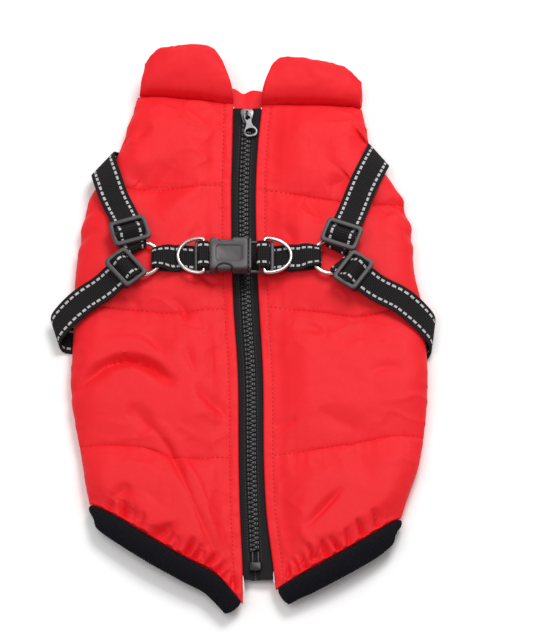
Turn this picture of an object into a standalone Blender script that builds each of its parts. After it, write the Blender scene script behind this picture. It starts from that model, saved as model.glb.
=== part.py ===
"""Padded dog winter coat with a zip down the back and a webbing harness, laid flat on its belly.

The tables and constants are in millimetres on a drawing whose x runs from the zip line and whose
y runs from the hem tips towards the neck; place() turns them into metres about the middle of the
laid-out coat. Side -1 is the left half of the picture plane, side +1 the right half.
"""
import math

import bmesh
import bpy
from mathutils import Matrix, Vector

for old in list(bpy.data.objects):
    bpy.data.objects.remove(old)

# ---------------------------------------------------------------- driving dimensions (mm)
MM = 0.001
MID_X, MID_Y = -4.64, 207.06        # middle of the whole coat on the drawing
GAP = 0.3                           # between pieces that touch

SHELL_AT_SEAM = 5.6                 # thickness of the padded back panels where they are sewn down
PUFF = 5.6                          # how much thicker they are between two quilting rows
PRESS_CLEAR, PRESS_HALF, PRESS_FADE = 1.5, 12.0, 14.0   # cloth pressed under a strap
PLACKET_TOP = 11.2                  # folded edge beside the zip
PLACKET_UNDER = 8.7                 # its underside, over the zip tape
PLACKET_WIDTH = 9.5                 # from that edge to its topstitch line
BACK_UNDER = 6.2                    # underside of the back panels, on the belly panel
BELLY_THICK = 5.2                   # padded belly panel, and the tucked-under edge of the back
SIDE_ROLL_Z = 6.5                   # height of the widest line of a side
SIDE_ROLL_TOP = 20.0                # how far in from that line the top starts to round down
SIDE_ROLL_UNDER = 11.0              # how far in it meets the ground
SIDE_FOLD = 5.6                     # wall at the inside of that fold
SIDE_SEAM = 24.0                    # side seam, underneath, from the widest line

WEB_WIDTH, WEB_THICK = 19.6, 1.5    # harness webbing
WEB_LOOP_WIDTH = 14.0               # the same, drawn together where it loops a ring
STRAP_LIFT, STRAP_LIFT_HALF, STRAP_LIFT_FADE = 2.6, 16.0, 20.0   # cloth raised over a strap below
RING_R, RING_WIRE = 12.5, 1.5       # junction rings: to the middle of the wire, and the wire
HARNESS_LOW_Z = 18.75               # middle of the webbing that lies on the coat
RING_Z = 21.3
LOOP_TOP_Z = 2 * RING_Z - HARNESS_LOW_Z
ADJUSTER_RISE = 2.65                # webbing under a slide adjuster's end bars, below its middle
ADJUSTER_DIP, ADJUSTER_CREST = 6.6, 1.5   # along the strap, where it is lowest and highest
TURN_STEPS = 12

ZIP_TAPE_Z = (7.5, 8.3)
ZIP_TAPE_HALF = 14.0
ZIP_CHAIN_HALF = 3.1
ZIP_CHAIN_Z = (6.7, 9.3)
ZIP_TOP_Y, ZIP_BOTTOM_Y = 379.5, 23.5
SLIDER_Y = (367.3, 378.3)
ZIP_BOX_Y = (29.0, 35.2)

BIND_HALF_WIDTH = 6.8               # rib-knit hem binding
LEG_HOLE = (24.0, 33.0)             # half width and half length
LEG_HOLE_X, LEG_HOLE_Y = 48.0, 268.0
LEG_BIND = 4.0

# ---------------------------------------------------------------- tables (mm)
# widest line of each side:      y     left    right
SIDES = [
    (0.0, -92.0, 88.0), (40.0, -100.0, 95.0), (72.0, -105.9, 101.4), (82.0, -107.2, 104.4),
    (100.0, -110.4, 110.2), (121.0, -113.4, 114.6), (162.0, -119.6, 118.6), (198.0, -118.6, 118.0),
    (229.0, -117.8, 115.4), (252.0, -117.2, 110.8), (288.0, -112.6, 107.6), (306.0, -109.6, 103.2),
    (318.0, -104.2, 98.0), (328.0, -97.0, 92.0), (340.0, -90.6, 80.8), (352.0, -85.0, 77.2),
    (366.0, -80.6, 75.8), (380.0, -77.2, 74.6), (392.0, -74.6, 74.2),
]
# zip line:      y    middle  half the gap between the plackets
ZIP_LINE = [
    (0.0, 7.0, 11.6), (28.0, 5.6, 10.4), (72.0, 2.2, 8.8), (106.0, 1.0, 8.4), (178.0, 0.2, 8.4),
    (230.0, -2.6, 8.6), (309.0, -4.5, 8.2), (350.0, -3.4, 8.6), (380.0, -1.7, 9.7),
]
# zip chain:     y     x
CHAIN_LINE = [
    (28.0, 3.8), (47.0, 3.0), (72.0, 2.0), (106.0, 1.0), (178.0, 0.2), (230.0, -2.6), (309.0, -4.4),
    (350.0, -3.2), (380.0, -1.7),
]
# y of each row of stitching at six stations from the placket (0) to the widest line (1)
STATIONS = (0.0, 0.2, 0.4, 0.6, 0.8, 1.0)
ROWS = {
    -1: [("hem", (4.5, 26.5, 37.4, 51.0, 66.5, 80.4)),
         ("quilt_3", (113.0, 112.0, 111.8, 119.6, 121.5, 121.2)),
         ("quilt_2", (226.0, 223.5, 221.0, 223.5, 226.0, 229.0)),
         ("quilt_1", (319.0, 318.0, 316.5, 316.0, 317.0, 320.0)),
         ("neck", (381.4, 383.0, 385.0, 386.5, 387.6, 388.7))],
    1: [("hem", (15.0, 24.0, 33.0, 43.0, 55.0, 70.0)),
        ("quilt_3", (113.8, 116.0, 119.5, 123.5, 128.0, 128.5)),
        ("quilt_2", (227.0, 224.0, 221.5, 218.6, 224.0, 229.0)),
        ("quilt_1", (316.0, 313.0, 309.0, 305.5, 304.0, 305.0)),
        ("neck", (380.6, 381.0, 381.0, 380.7, 380.0, 379.7))],
}
HEM_UNDER = (4.2, 6.6, 8.0, 8.3, 7.4, 6.4)      # underside of the hanging hem at those stations
BAND_STEPS = (0.0, 0.1, 0.28, 0.5, 0.72, 0.9)   # sections between two rows

# collar rim:   station  x      y      z of the outer face
COLLAR_RIM = {
    -1: [(0.0, -19.0, 407.0, 24.0), (0.2, -27.0, 415.0, 29.0), (0.4, -38.0, 416.5, 30.0),
         (0.6, -50.0, 415.8, 30.0), (0.8, -61.5, 414.2, 27.5), (1.0, -70.0, 409.0, 19.0)],
    1: [(0.0, 14.0, 402.0, 22.0), (0.2, 23.0, 408.5, 26.0), (0.4, 36.0, 407.0, 27.0),
        (0.6, 51.0, 404.8, 26.5), (0.8, 64.0, 401.0, 24.0), (1.0, 74.4, 395.0, 16.5)],
}
# rim at and under the side fold: y below the widest point, z outside, how far in outside,
# how far in inside, z inside
COLLAR_FOLD = [
    (0.0, 19.0, 0.0, 6.2, 13.0), (3.0, 11.5, 2.0, 7.4, 10.2), (6.0, 5.6, 6.4, 9.6, 8.0),
    (8.5, 1.8, 11.0, 12.4, 6.6), (10.5, 0.2, 17.0, 17.4, 5.6), (12.0, 0.0, 24.0, 24.0, 5.3),
]
COLLAR_STEPS = (0.0, 0.3, 0.6, 0.85, 1.0)
THROAT_RIM = (20.0, 17.0, 20.0)                 # how far the throat part stands out: left, middle, right
BELLY_ARCH = (36.0, -8.0)                        # how far the middle of the belly's hem and neck is up

# harness:            ring centre       adjuster: x, y, heading, fold from the ring, start heading
JUNCTIONS = {
    -1: {"ring": (-72.7, 257.6),
         "upper": {"at": (-80.7, 276.2), "heading": 107.0, "start": 118.0, "fold": 6.6},
         "lower": {"at": (-83.3, 248.4), "heading": 219.5, "start": 224.0, "fold": 4.0}},
    1: {"ring": (54.5, 259.0),
        "upper": {"at": (61.5, 273.5), "heading": 69.8, "start": 62.0, "fold": 5.6},
        "lower": {"at": (69.3, 246.2), "heading": -34.5, "start": -46.0, "fold": 6.0}},
}
# where the straps turn down round the sides: reference point, outward heading, how far the strap
# leans from it, and to which side
TURNS = {
    (-1, "upper"): {"at": (-97.7, 328.2), "out": 140.0, "lean": 34.0, "sense": -1},
    (-1, "lower"): {"at": (-125.0, 215.6), "out": 196.4, "lean": 24.6, "sense": 1},
    (1, "upper"): {"at": (84.4, 335.8), "out": 38.4, "lean": 28.6, "sense": 1},
    (1, "lower"): {"at": (116.6, 214.5), "out": -7.0, "lean": 33.1, "sense": -1},
}
# middle of the webbing round a side: outward from the reference point, and height
TURN_PROFILE = [(-22.0, 18.8), (-14.0, 18.2), (-8.0, 17.2), (-3.5, 15.9), (0.0, 14.3), (3.3, 12.4),
                (5.7, 10.0), (6.6, 7.0), (6.1, 3.7), (4.4, 1.5), (1.6, 0.88), (-5.0, 0.83),
                (-20.0, 0.83)]
TURN_FROM, TURN_TO = 1.0, 11.15     # places in that table where a strap comes to it and leaves it
TURN_BEND = (2.0, 9.9)              # and between which it bends
CHEST_MIDDLE = ((0.0, 333.5), 1.0)                # the straps under the coat: a point and heading
GIRTH_MIDDLE = ((0.0, 191.5), 2.0)

BUCKLE_Y = 258.9
BUCKLE_Z = (19.6, 22.0)             # its two ladders
BUCKLE_BODY_Z = (18.7, 28.0)
BUCKLE_HALF_WIDTH = 12.0
#              outer end  bar    slot   bar    slot   body
LADDER = {-1: (-37.2, -35.2, -33.1, -29.2, -27.1, -1.1),
          1: (16.1, 13.6, 11.4, 7.4, 0.5, -0.7)}
HUMP_WALL_IN = {-1: -28.15, 1: 5.35}     # middle of the webbing where it goes down by the body
D_RING = {-1: {"bar": (-31.15, 23.65), "reach": 17.2},
          1: {"bar": (9.55, 23.65), "reach": 18.0}}
D_RING_HALF, D_RING_WIRE = 12.9, 1.3
D_RING_DROP = 0.9                   # the far end lies a little lower than the bar

RED = (0.90, 0.035, 0.05, 1)
BLACK = (0.012, 0.012, 0.014, 1)
GREY = (0.09, 0.085, 0.09, 1)
SILVER = (0.75, 0.75, 0.76, 1)


# ---------------------------------------------------------------- small helpers
def place(x, y, z):
    """A point of the drawing, in metres about the middle of the coat."""
    return Vector(((x - MID_X) * MM, (y - MID_Y) * MM, z * MM))


def mix(a, b, t):
    return a + (b - a) * t


def smooth(t):
    t = min(max(t, 0.0), 1.0)
    return t * t * (3.0 - 2.0 * t)


def curve(xs, ys, x):
    """A smooth curve through the points (xs, ys), read at x and held flat beyond its ends."""
    if x <= xs[0]:
        return ys[0]
    if x >= xs[-1]:
        return ys[-1]
    i = max(k for k in range(len(xs) - 1) if xs[k] <= x)
    step = xs[i + 1] - xs[i]
    slope = (ys[i + 1] - ys[i]) / step
    before = (ys[i] - ys[i - 1]) / (xs[i] - xs[i - 1]) if i else slope
    after = (ys[i + 2] - ys[i + 1]) / (xs[i + 2] - xs[i + 1]) if i + 2 < len(xs) else slope
    m0, m1 = 0.5 * (before + slope) * step, 0.5 * (slope + after) * step
    t = (x - xs[i]) / step
    return ((2 * t**3 - 3 * t**2 + 1) * ys[i] + (t**3 - 2 * t**2 + t) * m0
            + (3 * t**2 - 2 * t**3) * ys[i + 1] + (t**3 - t**2) * m1)


def column(table, at, key, value):
    """One column of a table read smoothly at a value of its key column."""
    return curve([row[key] for row in table], [row[value] for row in table], at)


def unit(degrees):
    return Vector((math.cos(math.radians(degrees)), math.sin(math.radians(degrees)), 0))


TURN_LENGTHS = [0.0]
for one, two in zip(TURN_PROFILE, TURN_PROFILE[1:]):
    TURN_LENGTHS.append(TURN_LENGTHS[-1] + math.dist(one, two))
TURN_ZERO = TURN_LENGTHS[4]


def side_x(side, y):
    return column(SIDES, y, 0, 1 if side < 0 else 2)


def placket_x(side, y):
    return column(ZIP_LINE, y, 0, 1) + side * column(ZIP_LINE, y, 0, 2)


def row_y(side, r, f):
    """y of the cloth at row coordinate r (0 hem .. 4 neck) and station f."""
    rows = ROWS[side]
    i = min(int(r), len(rows) - 2)
    low = curve(STATIONS, rows[i][1], f)
    high = curve(STATIONS, rows[i + 1][1], f)
    return mix(low, high, r - i)


def strap_lift(x, y):
    """How far cloth on the ground is raised by the strap that passes under it."""
    lift = 0.0
    for path in UNDER_PATHS.values():
        away = abs(y - column(path, x, 0, 1)) - STRAP_LIFT_HALF
        lift = max(lift, STRAP_LIFT * (1.0 - smooth(away / STRAP_LIFT_FADE)))
    return lift


def back_under(r, f):
    """Underside of the back panels: on the belly, and hanging clear of the ground at the hem."""
    return mix(curve(STATIONS, HEM_UNDER, f), BACK_UNDER, smooth(r))


def back_top(side, r, f):
    """Top of the padded back panels: pinched at each row and placket, puffed between them."""
    y = row_y(side, r, f)
    width = abs(side_x(side, y) - placket_x(side, y))
    inward, outward = f * width, (1.0 - f) * width
    band = min(1.0, math.sin(math.pi * (r - int(r))) ** 0.55 if r < 4 else 0.0)
    if r < 1:
        band *= smooth(r / 0.25)
    spread = smooth((inward - PLACKET_WIDTH) / 26.0)
    top = back_under(r, f) + SHELL_AT_SEAM + PUFF * band * spread
    placket = min(PLACKET_TOP, back_under(r, f) + PLACKET_TOP - BACK_UNDER)
    top = mix(placket, top, smooth((inward - PLACKET_WIDTH) / 10.0))
    if outward < SIDE_ROLL_TOP:
        fall = (SIDE_ROLL_TOP - outward) / SIDE_ROLL_TOP
        top = mix(SIDE_ROLL_Z, top, math.sqrt(max(0.0, 1.0 - fall * fall)))
    return strap_press(side, mix(placket_x(side, y), side_x(side, y), f), y, top)


def strap_press(side, x, y, z):
    """Padded cloth pressed down to the underside of the straps that turn round this side."""
    for (turn_side, _), turn in TURNS.items():
        away = Vector((x - turn["at"][0], y - turn["at"][1], 0))
        reach = away.dot(unit(turn["out"]))
        if turn_side != side or not TURN_PROFILE[0][0] < reach < TURN_PROFILE[6][0]:
            continue
        length = curve([p[0] for p in TURN_PROFILE[:7]], TURN_LENGTHS[:7], reach)
        lean = math.radians(turn["lean"])
        along = away.dot(unit(turn["out"] + 90.0 * turn["sense"]))
        beside = abs(along - (length - TURN_ZERO) * math.tan(lean)) * math.cos(lean)
        limit = curve(TURN_LENGTHS, [p[1] for p in TURN_PROFILE], length) - PRESS_CLEAR
        limit = max(limit, SIDE_ROLL_Z)
        weight = 1.0 - smooth((beside - PRESS_HALF) / PRESS_FADE)
        z = min(z, mix(z, limit, weight))
    return z


# ---------------------------------------------------------------- mesh makers
def finish_object(name, mesh_builder, colour, roughness=0.6, metallic=0.0, smooth_angle=40):
    mesh = bpy.data.meshes.new(name)
    bmesh.ops.recalc_face_normals(mesh_builder, faces=mesh_builder.faces)
    bmesh.ops.triangulate(mesh_builder, faces=mesh_builder.faces)
    mesh_builder.to_mesh(mesh)
    mesh_builder.free()
    mesh.shade_smooth()
    mesh.set_sharp_from_angle(angle=math.radians(smooth_angle))
    mesh.materials.append(material(colour, roughness, metallic))
    made = bpy.data.objects.new(name, mesh)
    bpy.context.scene.collection.objects.link(made)
    return made


def material(colour, roughness, metallic):
    name = "finish_%02d_%02d_%02d" % (colour[0] * 99, roughness * 99, metallic * 99)
    found = bpy.data.materials.get(name)
    if found:
        return found
    made = bpy.data.materials.new(name)
    made.use_nodes = True
    shader = made.node_tree.nodes["Principled BSDF"]
    shader.inputs["Base Color"].default_value = colour
    shader.inputs["Roughness"].default_value = roughness
    shader.inputs["Metallic"].default_value = metallic
    return made


def wall(name, outer, inner, colour, roughness=0.6):
    """A closed wall of cloth between two grids of points, one for each face."""
    builder = bmesh.new()
    grids = [[[builder.verts.new(p) for p in row] for row in grid] for grid in (outer, inner)]
    rows, columns = len(outer), len(outer[0])
    for grid in grids:
        for i in range(rows - 1):
            for j in range(columns - 1):
                builder.faces.new((grid[i][j], grid[i][j + 1], grid[i + 1][j + 1], grid[i + 1][j]))
    front, back = grids
    rim = [(i, 0) for i in range(rows)] + [(rows - 1, j) for j in range(1, columns)]
    rim += [(i, columns - 1) for i in range(rows - 2, -1, -1)]
    rim += [(0, j) for j in range(columns - 2, 0, -1)]
    for (i, j), (k, m) in zip(rim, rim[1:] + rim[:1]):
        builder.faces.new((front[i][j], front[k][m], back[k][m], back[i][j]))
    return finish_object(name, builder, colour, roughness)


def tube(name, rings, colour, closed=False, roughness=0.7, metallic=0.0):
    """A solid through a chain of equal rings of points, capped unless it closes on itself."""
    builder = bmesh.new()
    made = [[builder.verts.new(p) for p in ring] for ring in rings]
    count = len(made[0])
    pairs = list(zip(made, made[1:])) + ([(made[-1], made[0])] if closed else [])
    for one, two in pairs:
        for k in range(count):
            builder.faces.new((one[k], one[(k + 1) % count], two[(k + 1) % count], two[k]))
    if not closed:
        builder.faces.new(made[0])
        builder.faces.new(made[-1])
    return finish_object(name, builder, colour, roughness, metallic)


def plate(name, xs, ys, zs, holes, frame, colour, corner=0.0, roughness=0.4):
    """A flat plate cut into cells by xs and ys, with some cells left out as holes."""
    builder = bmesh.new()
    points = {}
    for i, x in enumerate(xs):
        for j, y in enumerate(ys):
            points[i, j] = builder.verts.new((x * MM, y * MM, zs[0] * MM))
    cells = [(i, j) for i in range(len(xs) - 1) for j in range(len(ys) - 1) if (i, j) not in holes]
    for i, j in cells:
        builder.faces.new((points[i, j], points[i + 1, j], points[i + 1, j + 1], points[i, j + 1]))
    floor = list(builder.faces)
    raised = bmesh.ops.extrude_face_region(builder, geom=floor)["geom"]
    lifted = [v for v in raised if isinstance(v, bmesh.types.BMVert)]
    bmesh.ops.translate(builder, verts=lifted, vec=(0, 0, (zs[1] - zs[0]) * MM))
    bmesh.ops.reverse_faces(builder, faces=floor)
    if corner:
        ends = ((xs[0] * MM, xs[-1] * MM), (ys[0] * MM, ys[-1] * MM))
        posts = [e for e in builder.edges
                 if abs(e.verts[0].co.z - e.verts[1].co.z) > 0.5 * (zs[1] - zs[0]) * MM
                 and min(abs(e.verts[0].co.x - c) for c in ends[0]) < 1e-6
                 and min(abs(e.verts[0].co.y - c) for c in ends[1]) < 1e-6]
        bmesh.ops.bevel(builder, geom=posts, offset=corner * MM, affect="EDGES", segments=2,
                        profile=0.5, material=-1)
    bmesh.ops.transform(builder, matrix=frame, verts=builder.verts)
    return finish_object(name, builder, colour, roughness)


def standing(x, y, heading):
    """A frame at a point of the drawing, its own y axis along a heading in degrees."""
    return Matrix.Translation(place(x, y, 0)) @ Matrix.Rotation(math.radians(heading - 90), 4, "Z")


# ---------------------------------------------------------------- padded cloth
# columns across a panel: mm in from the placket, share of the flat part, or mm in from the side
TOP_IN = (0.0, PLACKET_WIDTH, 18.0, 32.0)
TOP_MIDDLE = 0.5
ROLL_OUTER = (SIDE_ROLL_TOP, 10.0, 4.0, 1.0, 0.0)
ROLL_INNER = (SIDE_ROLL_TOP, 12.0, 8.5, 6.5, SIDE_FOLD)
UNDER_OUTER_ANGLE = (35.0, 65.0, 90.0)
UNDER_OUTER_FLAT = (17.0, SIDE_SEAM)
UNDER_INNER = (6.5, 8.5, SIDE_ROLL_UNDER, 17.0, SIDE_SEAM)


def panel_section(side, r):
    """Outer and inner points of a back panel along one row: top, round the side, to the seam."""
    outer, inner = [], []

    def station(inward):
        """Station of the point this far in from the placket, measured along the row."""
        y = row_y(side, r, 0.3)
        return inward / abs(side_x(side, y) - placket_x(side, y))

    def spot(f):
        y = row_y(side, r, f)
        return mix(placket_x(side, y), side_x(side, y), f), y

    far = 1.0 - station(SIDE_ROLL_TOP)
    middle = mix(station(TOP_IN[-1]), far, TOP_MIDDLE)
    for f, inward in [(station(d), d) for d in TOP_IN] + [(middle, 99.0)]:
        x, y = spot(f)
        under = back_under(r, f)
        if inward <= PLACKET_WIDTH:
            under += min(PLACKET_UNDER - BACK_UNDER, 2.5)
        outer.append(place(x, y, back_top(side, r, f)))
        inner.append(place(x, y, under))
    for out, into in zip(ROLL_OUTER, ROLL_INNER):
        x, y = spot(1.0 - station(out))
        outer.append(place(x, y, back_top(side, r, 1.0 - station(out))))
        x, y = spot(1.0 - station(into))
        height = 5.75 if into == SIDE_FOLD else back_under(r, 1.0 - station(into))
        inner.append(place(x, y, height))
    edge, y = spot(1.0)
    lifts = []
    for angle in UNDER_OUTER_ANGLE:
        turn = math.radians(angle)
        into = SIDE_ROLL_UNDER * (1.0 - math.cos(turn))
        x = edge - side * into
        lift = strap_lift(x, y)
        lifts.append(lift)
        outer.append(place(x, y, max(SIDE_ROLL_Z * (1.0 - math.sin(turn)), lift)))
    for into in UNDER_OUTER_FLAT:
        x = edge - side * into
        lifts.append(strap_lift(x, y))
        outer.append(place(x, y, lifts[-1]))
    for into in UNDER_INNER:
        inner.append(place(edge - side * into, y, BELLY_THICK))
    return outer, inner


def row_coordinates():
    steps = [i + t for i in range(4) for t in BAND_STEPS]
    return steps + [4.0]


def back_panel(side):
    sections = [panel_section(side, r) for r in row_coordinates()]
    name = "back_left" if side < 0 else "back_right"
    return wall(name, [s[0] for s in sections], [s[1] for s in sections], RED)


def belly_point(u, r):
    """A place on the belly panel: u -1..1 from side seam to side seam, r the back's row."""
    ends = []
    for side in (-1, 1):
        y = row_y(side, r, 1.0)
        ends.append(Vector((side_x(side, y) - side * (SIDE_SEAM + GAP), y)))
    spot = ends[0].lerp(ends[1], 0.5 * (u + 1.0))
    return spot.x, spot.y + mix(BELLY_ARCH[0], BELLY_ARCH[1], r / 4.0) * (1.0 - abs(u) ** 2.2)


def belly_panel():
    columns = 10
    low, high = [], []
    for r in row_coordinates():
        low.append([])
        high.append([])
        for j in range(columns):
            x, y = belly_point(2.0 * j / (columns - 1) - 1.0, r)
            low[-1].append(place(x, y, strap_lift(x, y)))
            high[-1].append(place(x, y, BELLY_THICK))
    panel = wall("belly_panel", high, low, RED)
    for side in (-1, 1):
        cut = panel.modifiers.new("leg_hole", "BOOLEAN")
        cut.operation = "DIFFERENCE"
        cut.object = leg_cutter(side)
    return panel


LEG_TURNS = 28


def leg_ellipse(side, shrink, z):
    ring = []
    for k in range(LEG_TURNS):
        turn = 2 * math.pi * k / LEG_TURNS
        x = side * LEG_HOLE_X + (LEG_HOLE[0] - shrink) * math.cos(turn)
        y = LEG_HOLE_Y + (LEG_HOLE[1] - shrink) * math.sin(turn)
        ring.append(place(x, y, z))
    return ring


def leg_cutter(side):
    cutter = tube("leg_cutter_%+d" % side, [leg_ellipse(side, 0, -3.0), leg_ellipse(side, 0, 12.0)], RED)
    cutter.hide_render = True
    cutter.display_type = "WIRE"
    return cutter


def leg_binding(side):
    outer = [leg_ellipse(side, GAP, z) for z in (0.5, 4.9)]
    inner = [leg_ellipse(side, GAP + LEG_BIND, z) for z in (1.3, 4.1)]
    rings = []
    for k in range(LEG_TURNS):
        rings.append([outer[0][k], outer[1][k], inner[1][k], inner[0][k]])
    name = "leg_binding_left" if side < 0 else "leg_binding_right"
    return tube(name, rings, BLACK, closed=True)


# ---------------------------------------------------------------- collar
def collar_rim_section(side):
    """Outer and inner points of the rim, in the same columns as a panel's section."""
    table = COLLAR_RIM[side]
    outer, inner = [], []
    base = panel_section(side, 4.0)[0]
    edge_y = row_y(side, 4.0, 1.0)
    edge, start = side_x(side, edge_y), placket_x(side, edge_y)
    for point in base[:9]:
        x = point.x / MM + MID_X
        f = min(max((x - start) / (edge - start), 0.0), 1.0)
        x, y, z = (column(table, f, 0, k) for k in (1, 2, 3))
        outer.append(place(x, y, z))
        inner.append(place(x - side * 1.5 * f, y + 1.6, z - 5.2))
    edge_x, edge_rim_y, edge_z = table[-1][1:]
    tall = edge_z / COLLAR_FOLD[0][1]
    inner[7] = place(edge_x - side * 8.4, edge_rim_y + 1.0, 5.3 + 10.8 * tall)
    inner[8] = place(edge_x - side * 7.0, edge_rim_y + 0.6, 5.3 + 9.2 * tall)
    for drop, z_out, out, into, z_in in COLLAR_FOLD:
        outer.append(place(edge_x - side * out, edge_rim_y - drop, z_out * tall))
        inner.append(place(edge_x - side * into, edge_rim_y - drop, 5.3 + (z_in - 5.3) * tall))
    return outer, inner


def collar_half(side):
    base_outer, base_inner = panel_section(side, 4.0)
    rim_outer, rim_inner = collar_rim_section(side)
    shift = Vector((0, 1.7 * GAP * MM, 0))
    grids = ([], [])
    for t in COLLAR_STEPS:
        bulge = math.sin(math.pi * min(t, 0.9)) * 1.6 * MM
        for grid, base, rim, sign in ((grids[0], base_outer, rim_outer, 1.0),
                                      (grids[1], base_inner, rim_inner, -0.3)):
            row = []
            for k, (b, e) in enumerate(zip(base, rim)):
                point = b + shift + (e - b - shift) * t
                if k < 9:
                    point.z += sign * bulge
                row.append(point)
            grid.append(row)
    name = "collar_left" if side < 0 else "collar_right"
    return wall(name, grids[0], grids[1], RED)


def throat():
    """The part of the collar on the belly side, lying low between the two halves."""
    low, high = [], []
    columns = 9
    ends = []
    for side in (-1, 1):
        outer, inner = collar_rim_section(side)
        ends.append((outer[-1], inner[-1]))
    for t in (0.0, 0.3, 0.7, 1.0):
        low.append([])
        high.append([])
        for j in range(columns):
            u = 2.0 * j / (columns - 1) - 1.0
            x, y = belly_point(u, 4.0)
            stand = curve((-1.0, 0.0, 1.0), THROAT_RIM, u)
            side = 0 if u < 0 else 1
            rim_x = ends[side][0].x / MM + MID_X + (0.4 if u < 0 else -0.4)
            rim_y = ends[side][0].y / MM + MID_Y
            x_rim = rim_x * abs(u)
            y_rim = mix(y + stand, rim_y, smooth(abs(u)))
            x, y = mix(x, x_rim, t), mix(y + GAP, y_rim, t)
            low[-1].append(place(x, y, 0.4 * t))
            high[-1].append(place(x, y, BELLY_THICK + 0.5 * t * (1 - abs(u))))
    return wall("collar_throat", high, low, RED)


# ---------------------------------------------------------------- bindings
BIND_SIDES = 10


def oval_ring(centre, outward, normal, half_width, half_thick):
    ring = []
    for k in range(BIND_SIDES):
        turn = 2 * math.pi * (k + 0.5) / BIND_SIDES
        ring.append(centre + outward * (half_width * math.cos(turn) * MM)
                    + normal * (half_thick * math.sin(turn) * MM))
    return ring


# how much further than the cloth the binding reaches up and down, at each column of the hem row
BIND_SPARE = (1.1, 1.1, 1.1, 1.1, 1.1, 0.9, 0.5, 0.3, 0.2, 0.15, 0.15, 0.15, 0.15, 0.15, 0.15)


def hem_binding(side):
    """Rib knit round the hem, from the tip beside the zip, round the side, to the side seam."""
    outer, inner = panel_section(side, 0.0)
    middles = [0.5 * (a + b) for a, b in zip(outer, inner)]
    rings = []
    for k, (over, under) in enumerate(zip(outer, inner)):
        before, after = middles[max(k - 1, 0)], middles[min(k + 1, len(middles) - 1)]
        along = (after - before).normalized()
        thick = over - under
        if k < 5:
            thick = Vector((0, 0, thick.z))
        outward = (along.cross(thick) * side).normalized()
        if k > 6:
            outward = Vector((0, -1, 0))
        half = 0.5 * thick.length / MM + BIND_SPARE[k]
        normal = thick.normalized()
        wide = BIND_HALF_WIDTH + 1.3 * math.sin(math.pi * min(k, 8) / 8)
        centre = middles[k] + outward * ((wide + GAP) * MM)
        if k > 10:
            centre.z = max(centre.z, (half + 0.05) * MM)
        rings.append(oval_ring(centre, outward, normal, wide, half))
    name = "hem_binding_left" if side < 0 else "hem_binding_right"
    return tube(name, rings, BLACK)


def belly_binding():
    """Rib knit along the belly hem, between the two side seams."""
    rings = []
    count = 15
    for k in range(count):
        u = 0.985 * (2.0 * k / (count - 1) - 1.0)
        x, y = belly_point(u, 0.0)
        after, before = belly_point(min(u + 0.05, 1), 0.0), belly_point(max(u - 0.05, -1), 0.0)
        along = Vector((after[0] - before[0], after[1] - before[1], 0)).normalized()
        outward = Vector((along.y, -along.x, 0))
        if k in (0, count - 1):
            outward = Vector((0, -1, 0))
        centre = Vector((x, y, 2.85)) + outward * (BIND_HALF_WIDTH + GAP + 0.4)
        rings.append(oval_ring(place(*centre), outward, Vector((0, 0, 1)), BIND_HALF_WIDTH, 2.8))
    return tube("belly_binding", rings, BLACK)


# ---------------------------------------------------------------- zip
def zip_middle(y):
    return column(CHAIN_LINE, y, 0, 1)


def zip_drop(y):
    """How far the zip lies lower towards the hanging hem, as the plackets do."""
    rows = ROWS[1]
    return (BACK_UNDER - HEM_UNDER[0]) * (1.0 - smooth((y - rows[0][1][0]) / (rows[1][1][0] - rows[0][1][0])))


def zip_tape(side):
    low, high = [], []
    count = 16
    for i in range(count):
        y = mix(ZIP_BOTTOM_Y, ZIP_TOP_Y, i / (count - 1))
        drop = zip_drop(y)
        near = zip_middle(y) + side * (ZIP_CHAIN_HALF + GAP)
        far = zip_middle(y) + side * ZIP_TAPE_HALF
        low.append([place(x, y, ZIP_TAPE_Z[0] - drop) for x in (near, far)])
        high.append([place(x, y, ZIP_TAPE_Z[1] - drop) for x in (near, far)])
    name = "zip_tape_left" if side < 0 else "zip_tape_right"
    return wall(name, high, low, BLACK)


def zip_chain():
    low, high = [], []
    count = 15
    bottom, top = ZIP_BOTTOM_Y + 13.0, SLIDER_Y[0] - GAP
    for i in range(count):
        y = mix(bottom, top, i / (count - 1))
        drop = zip_drop(y)
        xs = [zip_middle(y) + s * ZIP_CHAIN_HALF for s in (-1, 1)]
        low.append([place(x, y, ZIP_CHAIN_Z[0] - drop) for x in xs])
        high.append([place(x, y, ZIP_CHAIN_Z[1] - drop) for x in xs])
    return wall("zip_chain", high, low, BLACK, 0.4)


def block(name, low, high, frame, colour, roughness=0.4, metallic=0.0, edge=0.6):
    """A block with softened edges between two corners in a frame, in mm."""
    builder = bmesh.new()
    bmesh.ops.create_cube(builder, size=1.0)
    size = [(h - k) * MM for k, h in zip(low, high)]
    middle = [0.5 * (h + k) * MM for k, h in zip(low, high)]
    bmesh.ops.scale(builder, vec=size, verts=builder.verts)
    bmesh.ops.translate(builder, vec=middle, verts=builder.verts)
    if edge:
        bmesh.ops.bevel(builder, geom=list(builder.edges), offset=edge * MM, affect="EDGES",
                        segments=2, profile=0.5, material=-1)
    bmesh.ops.transform(builder, matrix=frame, verts=builder.verts)
    return finish_object(name, builder, colour, roughness, metallic)


def join_union(target, other):
    """Add another solid to a target by a Boolean union; the added solid is only a guide."""
    fuse = target.modifiers.new("union_" + other.name, "BOOLEAN")
    fuse.operation = "UNION"
    fuse.object = other
    other.hide_render = True
    other.display_type = "WIRE"


SLIDER_HALF = 4.6
SLIDER_WEB_HALF = 2.9
PULL_AXIS = (372.6, 12.1)           # y and z of the bridge's inside
BRIDGE_IN, BRIDGE_OUT, BRIDGE_TOP = 1.6, 2.8, (13.6, 14.5)


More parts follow.
